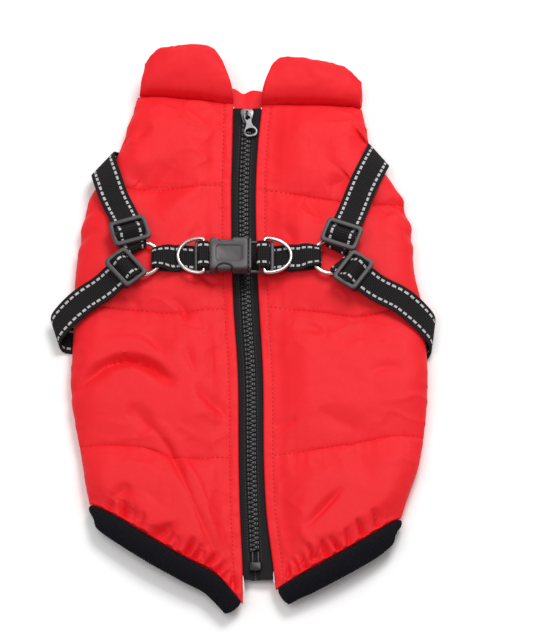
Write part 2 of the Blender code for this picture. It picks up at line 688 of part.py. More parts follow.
def zip_slider():
    x = zip_middle(sum(SLIDER_Y) / 2)
    frame = Matrix.Translation(place(x, 0, 0))
    y0, y1 = SLIDER_Y
    slider = block("zip_slider", (-SLIDER_HALF, y0, 8.75), (SLIDER_HALF, y1, 10.0), frame, GREY,
                   edge=0.4)
    web = block("slider_web", (-SLIDER_WEB_HALF, y0 + 1.5, 6.4), (SLIDER_WEB_HALF, y1 - 1.5, 9.4),
                frame, GREY, edge=0)
    lower = block("slider_lower", (-SLIDER_HALF, y0 + 0.5, 5.9), (SLIDER_HALF, y1 - 0.5, 7.0),
                  frame, GREY, edge=0.4)
    join_union(slider, web)
    join_union(slider, lower)
    y, top = PULL_AXIS[0], BRIDGE_TOP
    for name, low, high in (
            ("bridge_low", (-0.8, y - BRIDGE_OUT, 9.6), (0.8, y - BRIDGE_IN, top[1] - 0.1)),
            ("bridge_high", (-0.8, y + BRIDGE_IN, 9.6), (0.8, y + BRIDGE_OUT, top[1] - 0.1)),
            ("bridge_top", (-0.9, y - BRIDGE_OUT - 0.1, top[0]), (0.9, y + BRIDGE_OUT + 0.1, top[1]))):
        join_union(slider, block(name, low, high, frame, GREY, edge=0))
    return slider


# pull tab:       y from the axis   half width
PULL_OUTLINE = [(1.0, 2.6), (0.3, 3.2), (-4.2, 3.2), (-7.5, 2.6), (-10.5, 3.6), (-13.5, 4.1),
                (-15.5, 3.7), (-16.6, 2.4)]
PULL_HALF_THICK = 0.8
PULL_LEAN, PULL_DROP = 11.0, 5.5
PULL_EYE = (1.7, -4.1, -1.0)        # half width, and from where to where along the tab
PULL_HOLE = (2.5, -15.0, -10.8)


def zip_pull():
    """A flat tab with an eye round the slider's bridge and an oval hole at its free end."""
    builder = bmesh.new()
    outline = [(w, y) for y, w in PULL_OUTLINE] + [(-w, y) for y, w in reversed(PULL_OUTLINE)]
    face = builder.faces.new([builder.verts.new((x * MM, y * MM, -PULL_HALF_THICK * MM))
                              for x, y in outline])
    raised = bmesh.ops.extrude_face_region(builder, geom=[face])["geom"]
    bmesh.ops.translate(builder, vec=(0, 0, 2 * PULL_HALF_THICK * MM),
                        verts=[v for v in raised if isinstance(v, bmesh.types.BMVert)])
    tip = (Matrix.Rotation(math.radians(PULL_LEAN), 4, "Z")
           @ Matrix.Rotation(math.radians(PULL_DROP), 4, "X"))
    middle = place(zip_middle(PULL_AXIS[0]), PULL_AXIS[0], PULL_AXIS[1])
    frame = Matrix.Translation(middle) @ tip
    bmesh.ops.transform(builder, matrix=frame, verts=builder.verts)
    pull = finish_object("zip_pull", builder, GREY, 0.35, 0.6)
    eye = block("pull_eye", (-PULL_EYE[0], PULL_EYE[1], -3), (PULL_EYE[0], PULL_EYE[2], 3), frame,
                GREY, edge=0)
    hole = block("pull_hole", (-PULL_HOLE[0], PULL_HOLE[1], -3), (PULL_HOLE[0], PULL_HOLE[2], 3),
                 frame, GREY, edge=0)
    for cutter in (eye, hole):
        cut = pull.modifiers.new("cut_" + cutter.name, "BOOLEAN")
        cut.operation = "DIFFERENCE"
        cut.object = cutter
        cutter.hide_render = True
        cutter.display_type = "WIRE"
    return pull


def zip_box():
    y = 0.5 * (ZIP_BOX_Y[0] + ZIP_BOX_Y[1])
    frame = Matrix.Translation(place(zip_middle(y), 0, 0))
    low = ZIP_TAPE_Z[1] - zip_drop(y) + GAP
    return block("zip_box", (-3.8, ZIP_BOX_Y[0], low), (3.8, ZIP_BOX_Y[1], low + 2.6), frame, BLACK, 0.4)


# ---------------------------------------------------------------- harness
def webbing(name, stations):
    """A strip of webbing through stations: its two edges, and the way it faces at each."""
    high, low = [], []
    for k in range(len(stations)):
        high.append([])
        low.append([])
        for edge in (0, 1):
            point, facing = stations[k][edge], stations[k][2 + edge]
            before = stations[max(k - 1, 0)][edge]
            after = stations[min(k + 1, len(stations) - 1)][edge]
            one, two = (point - before).normalized(), (after - point).normalized()
            along = (one + two).normalized()
            normal = (facing - along * facing.dot(along)).normalized()
            bend = one.angle(two, 0.0)
            rise = normal * (0.5 * WEB_THICK / max(0.6, math.cos(0.5 * bend)))
            high[-1].append(place(*(point + rise)))
            low[-1].append(place(*(point - rise)))
    return wall(name, high, low, BLACK)


def cross_strip(centre, along, facing, width):
    """One station of webbing, from its middle, its direction and the way it faces."""
    across = facing.cross(along).normalized() * (0.5 * width)
    return centre - across, centre + across, facing, facing


def plan_curve(points, headings, count):
    """Points along a smooth plan curve (cubic pieces) through points with given headings."""
    made = []
    for (p, q), (a, b) in zip(zip(points, points[1:]), zip(headings, headings[1:])):
        p, q = Vector(p), Vector(q)
        reach = (q - p).length
        m0 = Vector((math.cos(math.radians(a)), math.sin(math.radians(a)))) * reach
        m1 = Vector((math.cos(math.radians(b)), math.sin(math.radians(b)))) * reach
        for k in range(count):
            t = k / count
            made.append(p * (2 * t**3 - 3 * t**2 + 1) + m0 * (t**3 - 2 * t**2 + t)
                        + q * (3 * t**2 - 2 * t**3) + m1 * (t**3 - t**2))
    made.append(Vector(points[-1]))
    return made


def along_plan(line, distance):
    """The point and direction at a distance along a list of plan points, also before its start."""
    if distance <= 0:
        direction = (line[1] - line[0]).normalized()
        return line[0] + direction * distance, direction
    for p, q in zip(line, line[1:]):
        step = (q - p).length
        if distance <= step or q is line[-1]:
            direction = (q - p).normalized()
            return p + direction * distance, direction
        distance -= step


def turn_length(place_in_table):
    return curve(range(len(TURN_LENGTHS)), TURN_LENGTHS, place_in_table)


def turn_spot(turn, length, slide):
    """A point on the bent sheet that a strap lies in round a side, and the way it faces."""
    out = unit(turn["out"])
    line = unit(turn["out"] + 90.0 * turn["sense"])
    reach, height = (curve(TURN_LENGTHS, [p[k] for p in TURN_PROFILE], length) for k in (0, 1))
    reach_on, height_on = (curve(TURN_LENGTHS, [p[k] for p in TURN_PROFILE], length + 0.1)
                           for k in (0, 1))
    spot = Vector((*turn["at"], 0)) + out * reach + line * slide
    spot.z = height
    facing = out * (height - height_on) + Vector((0, 0, reach_on - reach))
    return spot, facing.normalized()


def turn_station(turn, length):
    """The strap crosses that sheet in a straight line, leaning from square."""
    lean = math.radians(turn["lean"])
    slide = (length - TURN_ZERO) * math.tan(lean)
    half = 0.5 * WEB_WIDTH * turn["sense"]
    spots = [turn_spot(turn, length + sign * half * math.sin(lean), slide - sign * half * math.cos(lean))
             for sign in (1, -1)]
    return spots[0][0], spots[1][0], spots[0][1], spots[1][1]


def turn_ruling(turn, length):
    """The same strap cut along the fold instead, where both its edges are equally far round."""
    lean = math.radians(turn["lean"])
    slide = (length - TURN_ZERO) * math.tan(lean)
    half = 0.5 * WEB_WIDTH * turn["sense"] / math.cos(lean)
    spots = [turn_spot(turn, length, slide - sign * half) for sign in (1, -1)]
    return spots[0][0], spots[1][0], spots[0][1], spots[1][1]


def turn_middle(turn, length):
    """Plan point and heading of the middle of the strap at a length round the turn."""
    slide = (length - TURN_ZERO) * math.tan(math.radians(turn["lean"]))
    spot = turn_spot(turn, length, slide)[0]
    ahead = 1 if length < TURN_ZERO else -1
    way = (unit(turn["out"]) * ahead * math.cos(math.radians(turn["lean"]))
           + unit(turn["out"] + 90.0 * turn["sense"]) * math.sin(math.radians(turn["lean"])))
    return (spot.x, spot.y), math.degrees(math.atan2(way.y, way.x))


def under_path(which, middle):
    """Plan points of the strap under the coat, from the left turn to the right turn."""
    (start, heading), (end, back) = (turn_middle(TURNS[side, which], turn_length(TURN_TO))
                                     for side in (-1, 1))
    first = (Vector((*start, 0)) + unit(heading) * 6.0).to_2d()
    last = (Vector((*end, 0)) + unit(back) * 6.0).to_2d()
    points = plan_curve([start, first, middle[0], last, end],
                        [heading, heading, middle[1], back - 180.0, back - 180.0], 7)
    return [tuple(p) for p in points]


def strap(name, side, which):
    """One of the four straps: looped on its ring, through its adjuster, and round the side."""
    junction, turn = JUNCTIONS[side], TURNS[side, which]
    ring, slide = junction["ring"], junction[which]
    top_end, top_heading = turn_middle(turn, turn_length(TURN_FROM))
    at, way = Vector((*slide["at"], 0)), unit(slide["heading"])
    near, far = at - way * 8.0, at + way * 12.0                  # straight through the adjuster
    line = plan_curve([ring, near.to_2d(), far.to_2d(), top_end],
                      [slide["start"], slide["heading"], slide["heading"], top_heading], 8)
    to_adjuster = sum((q - p).length for p, q in zip(line[:8], line[1:9])) + 8.0
    whole = sum((q - p).length for p, q in zip(line, line[1:]))
    radius = RING_Z - HARNESS_LOW_Z
    hairpin = slide["fold"] + 0.5 * WEB_THICK + radius            # middle of the loop's half circle
    crest = LOOP_TOP_Z + 2 * ADJUSTER_RISE
    #            distance along, height, width
    profile = [(max(to_adjuster + 7.0, hairpin + 8.0), HARNESS_LOW_Z, WEB_WIDTH),
               (hairpin + 4.0, HARNESS_LOW_Z, mix(WEB_LOOP_WIDTH, WEB_WIDTH, 0.5))]
    for angle in (270, 240, 210, 180, 150, 120, 90):
        bend = math.radians(angle)
        profile.append((hairpin + radius * math.cos(bend), RING_Z + radius * math.sin(bend),
                        WEB_LOOP_WIDTH))
    slack = to_adjuster - ADJUSTER_DIP - hairpin
    if slack > 0.3:
        profile.append((to_adjuster - ADJUSTER_DIP, LOOP_TOP_Z, mix(WEB_LOOP_WIDTH, WEB_WIDTH, 0.8)))
    profile += [(to_adjuster - ADJUSTER_CREST, crest, WEB_WIDTH),
                (to_adjuster + ADJUSTER_CREST, crest, WEB_WIDTH),
                (to_adjuster + ADJUSTER_DIP, LOOP_TOP_Z, WEB_WIDTH),
                (to_adjuster + 10.5, LOOP_TOP_Z - 0.4, WEB_WIDTH)]
    rest = whole - to_adjuster - 10.5
    for share, height in ((0.2, 21.2), (0.45, 19.2), (0.7, 18.6), (1.0, 18.2)):
        profile.append((to_adjuster + 10.5 + rest * share, height, WEB_WIDTH))
    stations = []
    for k, (distance, z, width) in enumerate(profile):
        plan, direction = along_plan(line, distance)
        ahead, behind = profile[min(k + 1, len(profile) - 1)], profile[max(k - 1, 0)]
        run, rise = ahead[0] - behind[0], ahead[1] - behind[1]
        way = Vector((direction.x * run, direction.y * run, rise)).normalized()
        facing = Vector((-direction.x * rise, -direction.y * rise, run)).normalized()
        stations.append(cross_strip(Vector((plan.x, plan.y, z)), way, facing, width))
    stations[-1] = turn_station(turn, turn_length(TURN_FROM))
    stations += [turn_ruling(turn, turn_length(mix(*TURN_BEND, k / TURN_STEPS)))
                 for k in range(TURN_STEPS + 1)]
    stations.append(turn_station(turn, turn_length(TURN_TO)))
    return webbing(name, stations)


def under_strap(name, path):
    """The stretch of a strap that passes under the coat, just clear of both turns' ends."""
    line = [Vector(p) for p in path]
    whole = sum((q - p).length for p, q in zip(line, line[1:]))
    stations = []
    count = 14
    for k in range(count + 1):
        plan, direction = along_plan(line, mix(GAP + 0.1, whole - GAP - 0.1, k / count))
        stations.append(cross_strip(Vector((plan.x, plan.y, TURN_PROFILE[-1][1])),
                                    direction.to_3d(), Vector((0, 0, -1)), WEB_WIDTH))
    return webbing(name, stations)


def middle_strap(side):
    """From the ring, under the D-ring, and over the buckle's inner bar."""
    ring = JUNCTIONS[side]["ring"]
    end_bar, end_bar_in, bar_out = LADDER[side][:3]
    toward = -side
    radius = RING_Z - HARNESS_LOW_Z
    hairpin = ring[0] + toward * (6.6 + 0.5 * WEB_THICK + radius)
    wall_out, wall_in = 0.5 * (end_bar_in + bar_out), HUMP_WALL_IN[side]
    wire = ring[0] + toward * (RING_R + RING_WIRE)
    top = D_RING[side]["bar"][1] + D_RING_WIRE + GAP + 0.5 * WEB_THICK
    under = BUCKLE_Z[0] - GAP - 0.5 * WEB_THICK - 0.25
    #            x, z, width
    profile = [(end_bar - toward * 9.5, HARNESS_LOW_Z, WEB_WIDTH),
               (hairpin + toward * 5.0, HARNESS_LOW_Z, mix(WEB_LOOP_WIDTH, WEB_WIDTH, 0.5))]
    for angle in (270, 240, 210, 180, 150, 120, 90):
        bend = math.radians(angle)
        profile.append((hairpin + toward * radius * math.cos(bend), RING_Z + radius * math.sin(bend),
                        WEB_LOOP_WIDTH))
    profile += [(wire + toward * 0.8, LOOP_TOP_Z - 0.1, mix(WEB_LOOP_WIDTH, WEB_WIDTH, 0.6)),
                (wire + toward * 4.6, 21.9, WEB_WIDTH), (wire + toward * 8.2, 20.4, WEB_WIDTH),
                (end_bar - toward * 9.7, 20.35, WEB_WIDTH), (end_bar - toward * 1.6, under, WEB_WIDTH),
                (wall_out - toward * 0.9, under, WEB_WIDTH), (wall_out, under + 1.3, WEB_WIDTH),
                (wall_out, top - 1.2, WEB_WIDTH), (wall_out + toward * 1.2, top, WEB_WIDTH),
                (wall_in - toward * 1.2, top, WEB_WIDTH), (wall_in, top - 1.2, WEB_WIDTH),
                (wall_in, BUCKLE_Z[0] - 0.2, WEB_WIDTH)]
    stations = []
    for k, (x, z, width) in enumerate(profile):
        ahead, behind = profile[min(k + 1, len(profile) - 1)], profile[max(k - 1, 0)]
        run, rise = (ahead[0] - behind[0]) * toward, ahead[1] - behind[1]
        y = mix(ring[1], BUCKLE_Y, smooth((x - ring[0]) / (wall_out - ring[0])))
        facing = Vector((-rise * toward, 0, run)).normalized()
        way = Vector((run * toward, 0, rise)).normalized()
        stations.append(cross_strip(Vector((x, y, z)), way, facing, width))
    return webbing("strap_middle_left" if side < 0 else "strap_middle_right", stations)


def round_wire(name, points, radius, sides, colour):
    """A closed loop of round wire through points (drawing mm) that lie nearly in one plane."""
    rings = []
    count = len(points)
    for k in range(count):
        along = (points[(k + 1) % count] - points[k - 1]).normalized()
        up = Vector((0, 0, 1))
        across = along.cross(up).normalized()
        up = across.cross(along).normalized()
        ring = []
        for m in range(sides):
            turn = 2 * math.pi * (m + 0.5) / sides
            ring.append(place(*(points[k] + across * (radius * math.cos(turn))
                                + up * (radius * math.sin(turn)))))
        rings.append(ring)
    return tube(name, rings, colour, closed=True, roughness=0.25, metallic=1.0)


def junction_ring(side):
    x, y = JUNCTIONS[side]["ring"]
    points = []
    for k in range(28):
        turn = 2 * math.pi * k / 28
        points.append(Vector((x + RING_R * math.cos(turn), y + RING_R * math.sin(turn), RING_Z)))
    name = "ring_left" if side < 0 else "ring_right"
    return round_wire(name, points, RING_WIRE, 8, SILVER)


def d_ring(side):
    """A D of wire: its straight bar in the webbing, its bow lying on the strap."""
    bar_x, bar_z = D_RING[side]["bar"]
    reach = D_RING[side]["reach"]
    points = []
    corner = 2.6
    for k in range(17):
        turn = math.pi * (k / 16 - 0.5)
        out = corner + (reach - corner) * math.cos(turn)
        points.append((out, D_RING_HALF * math.sin(turn)))
    straight = [(0.55, D_RING_HALF - 0.55), (0.0, D_RING_HALF - 2.2), (0.0, 0.0),
                (0.0, 2.2 - D_RING_HALF), (0.55, 0.55 - D_RING_HALF)]
    loop = []
    for out, y in points + straight:
        loop.append(Vector((bar_x + side * out, BUCKLE_Y + y, bar_z - D_RING_DROP * out / reach)))
    name = "d_ring_left" if side < 0 else "d_ring_right"
    return round_wire(name, loop, D_RING_WIRE, 8, SILVER)


ADJUSTER_X = (-12.7, -10.4, 10.4, 12.7)
ADJUSTER_Y = (-9.3, -6.9, -1.3, 1.3, 6.9, 9.3)
ADJUSTER_HALF_Z = 1.6


def adjuster(side, which):
    spot = JUNCTIONS[side][which]
    middle_z = LOOP_TOP_Z + ADJUSTER_RISE
    frame = standing(spot["at"][0], spot["at"][1], spot["heading"])
    name = "adjuster_%s_%s" % (which, "left" if side < 0 else "right")
    return plate(name, ADJUSTER_X, ADJUSTER_Y, (middle_z - ADJUSTER_HALF_Z, middle_z + ADJUSTER_HALF_Z),
                 {(1, 1), (1, 3)}, frame, GREY, corner=2.2)


def buckle_half(side):
    """A ladder for the webbing and, on the left, the socket; on the right, the clip's shoulder."""
    end, end_in, bar_out, bar_in, body, far = LADDER[side]
    xs = sorted((end, end_in, bar_out, bar_in, body, body - side * 1.0))
    ys = (-BUCKLE_HALF_WIDTH, -BUCKLE_HALF_WIDTH + 1.8, BUCKLE_HALF_WIDTH - 1.8, BUCKLE_HALF_WIDTH)
    holes = {(1, 1), (3, 1)}
    frame = Matrix.Translation(place(0, BUCKLE_Y, 0))
    name = "buckle_socket" if side < 0 else "buckle_clip"
    ladder = plate(name, xs, ys, BUCKLE_Z, holes, frame, GREY, corner=1.2)
    low = (min(body, far), -BUCKLE_HALF_WIDTH, BUCKLE_BODY_Z[0])
    high = (max(body, far), BUCKLE_HALF_WIDTH, BUCKLE_BODY_Z[1])
    if side > 0:
        low = (low[0], -BUCKLE_HALF_WIDTH + 0.4, BUCKLE_BODY_Z[0] + 0.4)
        high = (body, BUCKLE_HALF_WIDTH - 0.4, BUCKLE_BODY_Z[1] - 0.8)
    body_block = block(name + "_body", low, high, frame, GREY, edge=1.2 if side < 0 else 0.4)
    join_union(ladder, body_block)
    return ladder


# ---------------------------------------------------------------- build
UNDER_PATHS = {"chest_strap": under_path("upper", CHEST_MIDDLE),
               "girth_strap": under_path("lower", GIRTH_MIDDLE)}
for half in (-1, 1):
    label = "left" if half < 0 else "right"
    back_panel(half)
    collar_half(half)
    hem_binding(half)
    leg_binding(half)
    zip_tape(half)
    strap("strap_upper_" + label, half, "upper")
    strap("strap_lower_" + label, half, "lower")
    middle_strap(half)
    junction_ring(half)
    d_ring(half)
    adjuster(half, "upper")
    adjuster(half, "lower")
    buckle_half(half)
belly_panel()
throat()
belly_binding()
zip_chain()
zip_slider()
zip_pull()
zip_box()
for strap_name, strap_path in UNDER_PATHS.items():
    under_strap(strap_name, strap_path)
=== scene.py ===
# %% [markdown]
# A padded dog coat with a harness, laid flat on its belly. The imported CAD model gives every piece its
# place and size. This script dresses it: quilted nylon, rib knit, webbing, zip teeth, moulded
# plastic and plated wire. Each cell makes one thing, says why it is made that way, and prints it.

# %% Load the frame
import math

import bmesh
import bpy
import numpy as np
from mathutils import Matrix, Vector, noise


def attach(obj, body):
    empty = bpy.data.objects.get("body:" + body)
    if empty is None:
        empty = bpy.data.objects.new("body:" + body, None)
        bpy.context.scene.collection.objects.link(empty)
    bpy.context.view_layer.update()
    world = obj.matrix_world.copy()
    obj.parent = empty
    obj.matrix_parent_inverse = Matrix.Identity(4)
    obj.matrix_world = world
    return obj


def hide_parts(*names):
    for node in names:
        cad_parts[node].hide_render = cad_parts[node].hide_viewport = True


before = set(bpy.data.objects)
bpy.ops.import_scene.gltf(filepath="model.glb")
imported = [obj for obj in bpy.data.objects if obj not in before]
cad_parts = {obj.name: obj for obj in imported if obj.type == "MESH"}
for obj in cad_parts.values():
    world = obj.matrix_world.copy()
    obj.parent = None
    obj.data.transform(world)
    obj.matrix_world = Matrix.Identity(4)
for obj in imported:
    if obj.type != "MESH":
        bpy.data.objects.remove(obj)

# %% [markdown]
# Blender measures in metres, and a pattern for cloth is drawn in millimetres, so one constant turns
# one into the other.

MM = 0.001
MID_X, MID_Y = -4.64, 207.06        # middle of the coat on the drawing, in mm
UP = np.array((0.0, 0.0, 1.0))
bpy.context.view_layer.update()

# %% [markdown]
# The coat is drawn in millimetres on a sheet of its own: x runs from the zip, y from the hem tips to
# the neck. The same short tables shaped the CAD solids, so what is read from them here at a finer
# step lands on those solids. One smooth curve through the rows of a table does all the reading.


# %% Reading a table smoothly
def curve(xs, ys, x):
    """A smooth curve through the points (xs, ys), read at x (number or array), flat beyond its ends."""
    xs, ys, x = (np.asarray(a, float) for a in (xs, ys, x))
    x = np.clip(x, xs[0], xs[-1])
    i = np.clip(np.searchsorted(xs, x, "right") - 1, 0, len(xs) - 2)
    slopes = np.diff(ys) / np.diff(xs)
    knots = np.concatenate(([slopes[0]], 0.5 * (slopes[1:] + slopes[:-1]), [slopes[-1]]))
    step = xs[i + 1] - xs[i]
    t = (x - xs[i]) / step
    return ((2 * t**3 - 3 * t**2 + 1) * ys[i] + (t**3 - 2 * t**2 + t) * knots[i] * step
            + (3 * t**2 - 2 * t**3) * ys[i + 1] + (t**3 - t**2) * knots[i + 1] * step)


def column(table, at, key, value):
    return curve([row[key] for row in table], [row[value] for row in table], at)


def mix(a, b, t):
    return a + (b - a) * t


def smooth(t):
    t = np.clip(t, 0.0, 1.0)
    return t * t * (3.0 - 2.0 * t)


def place(points):
    """Points of the drawing (mm, in the last axis) as points of the scene (m)."""
    return (np.asarray(points, float) - (MID_X, MID_Y, 0.0)) * MM


def normalised(vectors):
    return vectors / np.maximum(np.linalg.norm(vectors, axis=-1, keepdims=True), 1e-9)


def spacing(points):
    """Lengths (mm) along a line of points, from its start."""
    return np.concatenate(([0.0], np.cumsum(np.linalg.norm(np.diff(points, axis=0), axis=1))))


print("half way between 0 and 10 is", float(curve([0, 1, 2], [0, 10, 20], 0.5)))

# %% [markdown]
# The cut is a few short tables: both side edges, the folded edges beside the zip, the zip's chain,
# and the lines that cross a back panel. A maker marks the same few places on paper and joins them
# with a curved ruler, as curve() does. A long list of points would hold the shape too, but nobody
# could change it by hand.

# %% Tables of the cut: side lines, zip line, rows of quilting
#     y     left    right
SIDES = [
    (0.0, -92.0, 88.0), (40.0, -100.0, 95.0), (72.0, -105.9, 101.4), (82.0, -107.2, 104.4),
    (100.0, -110.4, 110.2), (121.0, -113.4, 114.6), (162.0, -119.6, 118.6), (198.0, -118.6, 118.0),
    (229.0, -117.8, 115.4), (252.0, -117.2, 110.8), (288.0, -112.6, 107.6), (306.0, -109.6, 103.2),
    (318.0, -104.2, 98.0), (328.0, -97.0, 92.0), (340.0, -90.8, 81.6), (352.0, -86.0, 79.8),
    (366.0, -81.6, 78.0), (380.0, -77.6, 75.2), (392.0, -74.6, 74.2),
]
#     y     middle  half the gap between the plackets
ZIP_LINE = [
    (0.0, 7.0, 11.6), (28.0, 5.6, 10.4), (72.0, 2.2, 8.8), (106.0, 1.0, 8.4), (178.0, 0.2, 8.4),
    (230.0, -2.6, 8.6), (309.0, -4.5, 8.2), (350.0, -3.4, 8.6), (380.0, -1.7, 9.7),
]
CHAIN_LINE = [
    (28.0, 3.8), (47.0, 3.0), (72.0, 2.0), (106.0, 1.0), (178.0, 0.2), (230.0, -2.6), (309.0, -4.4),
    (350.0, -3.2), (380.0, -1.7),
]
STATIONS = (0.0, 0.2, 0.4, 0.6, 0.8, 1.0)       # from the placket to the widest line of the side
ROWS = {                                        # y of the hem, three quilting rows and the neck
    -1: [(4.5, 26.5, 37.4, 51.0, 66.5, 80.4), (113.0, 112.0, 111.8, 119.6, 121.5, 121.2),
         (226.0, 223.5, 221.0, 223.5, 226.0, 229.0), (319.0, 318.0, 316.5, 316.0, 317.0, 320.0),
         (381.4, 383.0, 385.0, 386.5, 387.6, 388.7)],
    1: [(15.0, 24.0, 33.0, 43.0, 55.0, 70.0), (113.8, 116.0, 119.5, 123.5, 128.0, 128.5),
        (227.0, 224.0, 221.5, 218.6, 224.0, 229.0), (316.0, 313.0, 309.0, 305.5, 304.0, 305.0),
        (380.6, 381.0, 381.0, 380.7, 380.0, 379.7)],
}
HEM_UNDER = (4.2, 6.6, 8.0, 8.3, 7.4, 6.4)      # underside of the hanging hem at those stations
NECK = 4.0                                      # row coordinate of the neck seam
GAP = 0.3                                       # between pieces that touch
NAMES = {-1: "left", 1: "right"}


def side_x(side, y):
    return column(SIDES, y, 0, 1 if side < 0 else 2)


def placket_x(side, y):
    return column(ZIP_LINE, y, 0, 1) + side * column(ZIP_LINE, y, 0, 2)


def chain_x(y):
    return column(CHAIN_LINE, y, 0, 1)


def row_y(side, r, f):
    """y of the cloth at row coordinate r (0 hem, 1 to 3 quilting, 4 neck) and station f."""
    r, f = np.broadcast_arrays(np.asarray(r, float), np.asarray(f, float))
    rows = np.stack([curve(STATIONS, row, f) for row in ROWS[side]])
    i = np.clip(r.astype(int), 0, 3)
    low, high = (np.take_along_axis(rows, (i + k)[None], 0)[0] for k in (0, 1))
    return mix(low, high, r - i)


print("width of the coat at its widest:", round(float(side_x(1, 170.0) - side_x(-1, 170.0))), "mm")

# %% [markdown]
# The camera is set first, so that every later render can be laid over the photograph. A product
# shot from across a studio is nearly a parallel view, so the lens is very long and stands far
# away, 62 degrees above the coat. The focal length follows from the scale, 0.67 mm to a pixel.

# %% Camera
PICTURE = (544, 639)
SCALE = 0.67                        # mm of the drawing to a pixel of the picture
ZERO_PIXEL = (250.0, 613.0)         # where the picture shows the drawing's origin
ELEVATION = math.radians(62.0)
DISTANCE = 12.0
AIM_Z = 10.0                        # height that the scale holds at, in mm
lens_data = bpy.data.cameras.new("camera")
lens_data.sensor_width = 36.0
lens_data.lens = lens_data.sensor_width * DISTANCE / (max(PICTURE) * SCALE * MM)
lens_data.clip_end = 5 * DISTANCE
camera = bpy.data.objects.new("camera", lens_data)
bpy.context.scene.collection.objects.link(camera)
aim_x = (PICTURE[0] / 2 - ZERO_PIXEL[0]) * SCALE
aim_up = (ZERO_PIXEL[1] - PICTURE[1] / 2) * SCALE
aim = Vector(place((aim_x, (aim_up - AIM_Z * math.cos(ELEVATION)) / math.sin(ELEVATION), AIM_Z)))
towards_camera = Vector((0.0, -math.cos(ELEVATION), math.sin(ELEVATION)))
camera.location = aim + towards_camera * DISTANCE
camera.rotation_euler = (0.5 * math.pi - ELEVATION, 0.0, 0.0)
bpy.context.scene.camera = camera
print("camera lens", round(lens_data.lens), "mm, aimed at", tuple(round(v, 3) for v in aim))

# %% [markdown]
# Light: a pale floor, a bright even surround and two big soft boxes. The stronger one stands above
# the neck and a little to the right, so shadows fall softly towards the hem and the left.


# %% Floor and light
def soft_box(name, where, size, power):
    """A square area light at a place (m), facing the coat."""
    data = bpy.data.lights.new(name, "AREA")
    data.size, data.energy = size, power
    box = bpy.data.objects.new(name, data)
    box.location = where
    box.rotation_euler = (-Vector(where)).to_track_quat("-Z", "Y").to_euler()
    bpy.context.scene.collection.objects.link(box)


bpy.context.scene.view_settings.view_transform = "Standard"
world = bpy.data.worlds.new("studio")
bpy.context.scene.world = world
world.use_nodes = True
surround = world.node_tree.nodes["Background"].inputs
surround["Color"].default_value = (1.0, 0.985, 0.98, 1)
surround["Strength"].default_value = 0.50
soft_box("key", (0.35, 0.72, 1.15), 0.6, 11.0)
soft_box("fill", (-0.5, -0.35, 1.35), 0.9, 5.6)
FLOOR_HALF, FLOOR_DROP = 4.0, 0.0003        # metres; it lies just under what rests on it
floor_mesh = bpy.data.meshes.new("floor")
builder = bmesh.new()
bmesh.ops.create_grid(builder, x_segments=1, y_segments=1, size=FLOOR_HALF)
builder.to_mesh(floor_mesh)
builder.free()
floor = bpy.data.objects.new("floor", floor_mesh)
floor.location = (0.0, 0.0, -FLOOR_DROP)
bpy.context.scene.collection.objects.link(floor)

# %% [markdown]
# Shader maths reads best as sums. A Wire holds one socket, and its operators add the Math nodes,
# so `1 - mask` is one line. Every other node comes from one method that takes the node's type, its
# settings, and the values or wires of its sockets.


# %% Wires: sockets that can be added and multiplied
class Wire:
    def __init__(self, tree, socket=None):
        self.tree, self.socket = tree, socket

    def node(self, kind, settings=None, values=None, out=0):
        """Add a node: its settings first, then its sockets by name or number; return one output."""
        made = self.tree.nodes.new(kind)
        for name, value in (settings or {}).items():
            setattr(made, name, value)
        for name, value in (values or {}).items():
            if isinstance(value, Wire):
                self.tree.links.new(value.socket, made.inputs[name])
            else:
                made.inputs[name].default_value = value
        return Wire(self.tree, made.outputs[out])

    def maths(self, operation, *values):
        return self.node("ShaderNodeMath", {"operation": operation}, dict(enumerate(values)))

    def __add__(self, other):
        return self.maths("ADD", self, other)

    def __sub__(self, other):
        return self.maths("SUBTRACT", self, other)

    def __rsub__(self, other):
        return self.maths("SUBTRACT", other, self)

    def __mul__(self, other):
        return self.maths("MULTIPLY", self, other)

    def __truediv__(self, other):
        return self.maths("DIVIDE", self, other)

    __radd__, __rmul__ = __add__, __mul__

    def sine(self):
        return self.maths("SINE", self)

    def size(self):
        return self.maths("ABSOLUTE", self)

    def below(self, limit):
        return self.maths("LESS_THAN", self, limit)

    def blend(self, first, second):
        """One colour turning into another as this wire goes from 0 to 1 (sockets 6 and 7 are A, B)."""
        return self.node("ShaderNodeMix", {"data_type": "RGBA"}, {0: self, 6: first, 7: second}, out=2)

    def noise(self, scale, detail=2.0):
        where = self.node("ShaderNodeTexCoord", out="Object")
        return self.node("ShaderNodeTexNoise", None,
                         {"Vector": where, "Scale": scale, "Detail": detail})

    def cloth(self):
        """Two wires, across and along a piece in mm, from its own UV map."""
        uv = self.node("ShaderNodeUVMap", {"uv_map": "cloth"})
        return (self.node("ShaderNodeSeparateXYZ", None, {0: uv}, out=0),
                self.node("ShaderNodeSeparateXYZ", None, {0: uv}, out=1))

    def bump(self, height, distance, normal=None):
        values = {"Height": height, "Distance": distance}
        if normal:
            values["Normal"] = normal
        return self.node("ShaderNodeBump", None, values)


def finish(name, fixed, varying):
    """A material: fixed numbers on the shader's own sockets, and wires for what varies."""
    made = bpy.data.materials.new(name)
    made.use_nodes = True
    shader = made.node_tree.nodes["Principled BSDF"]
    for socket, value in fixed.items():
        shader.inputs[socket].default_value = value
    for socket, wire in varying(Wire(made.node_tree)).items():
        made.node_tree.links.new(wire.socket, shader.inputs[socket])
    return made


print("a finish can now be written as sums of wires")

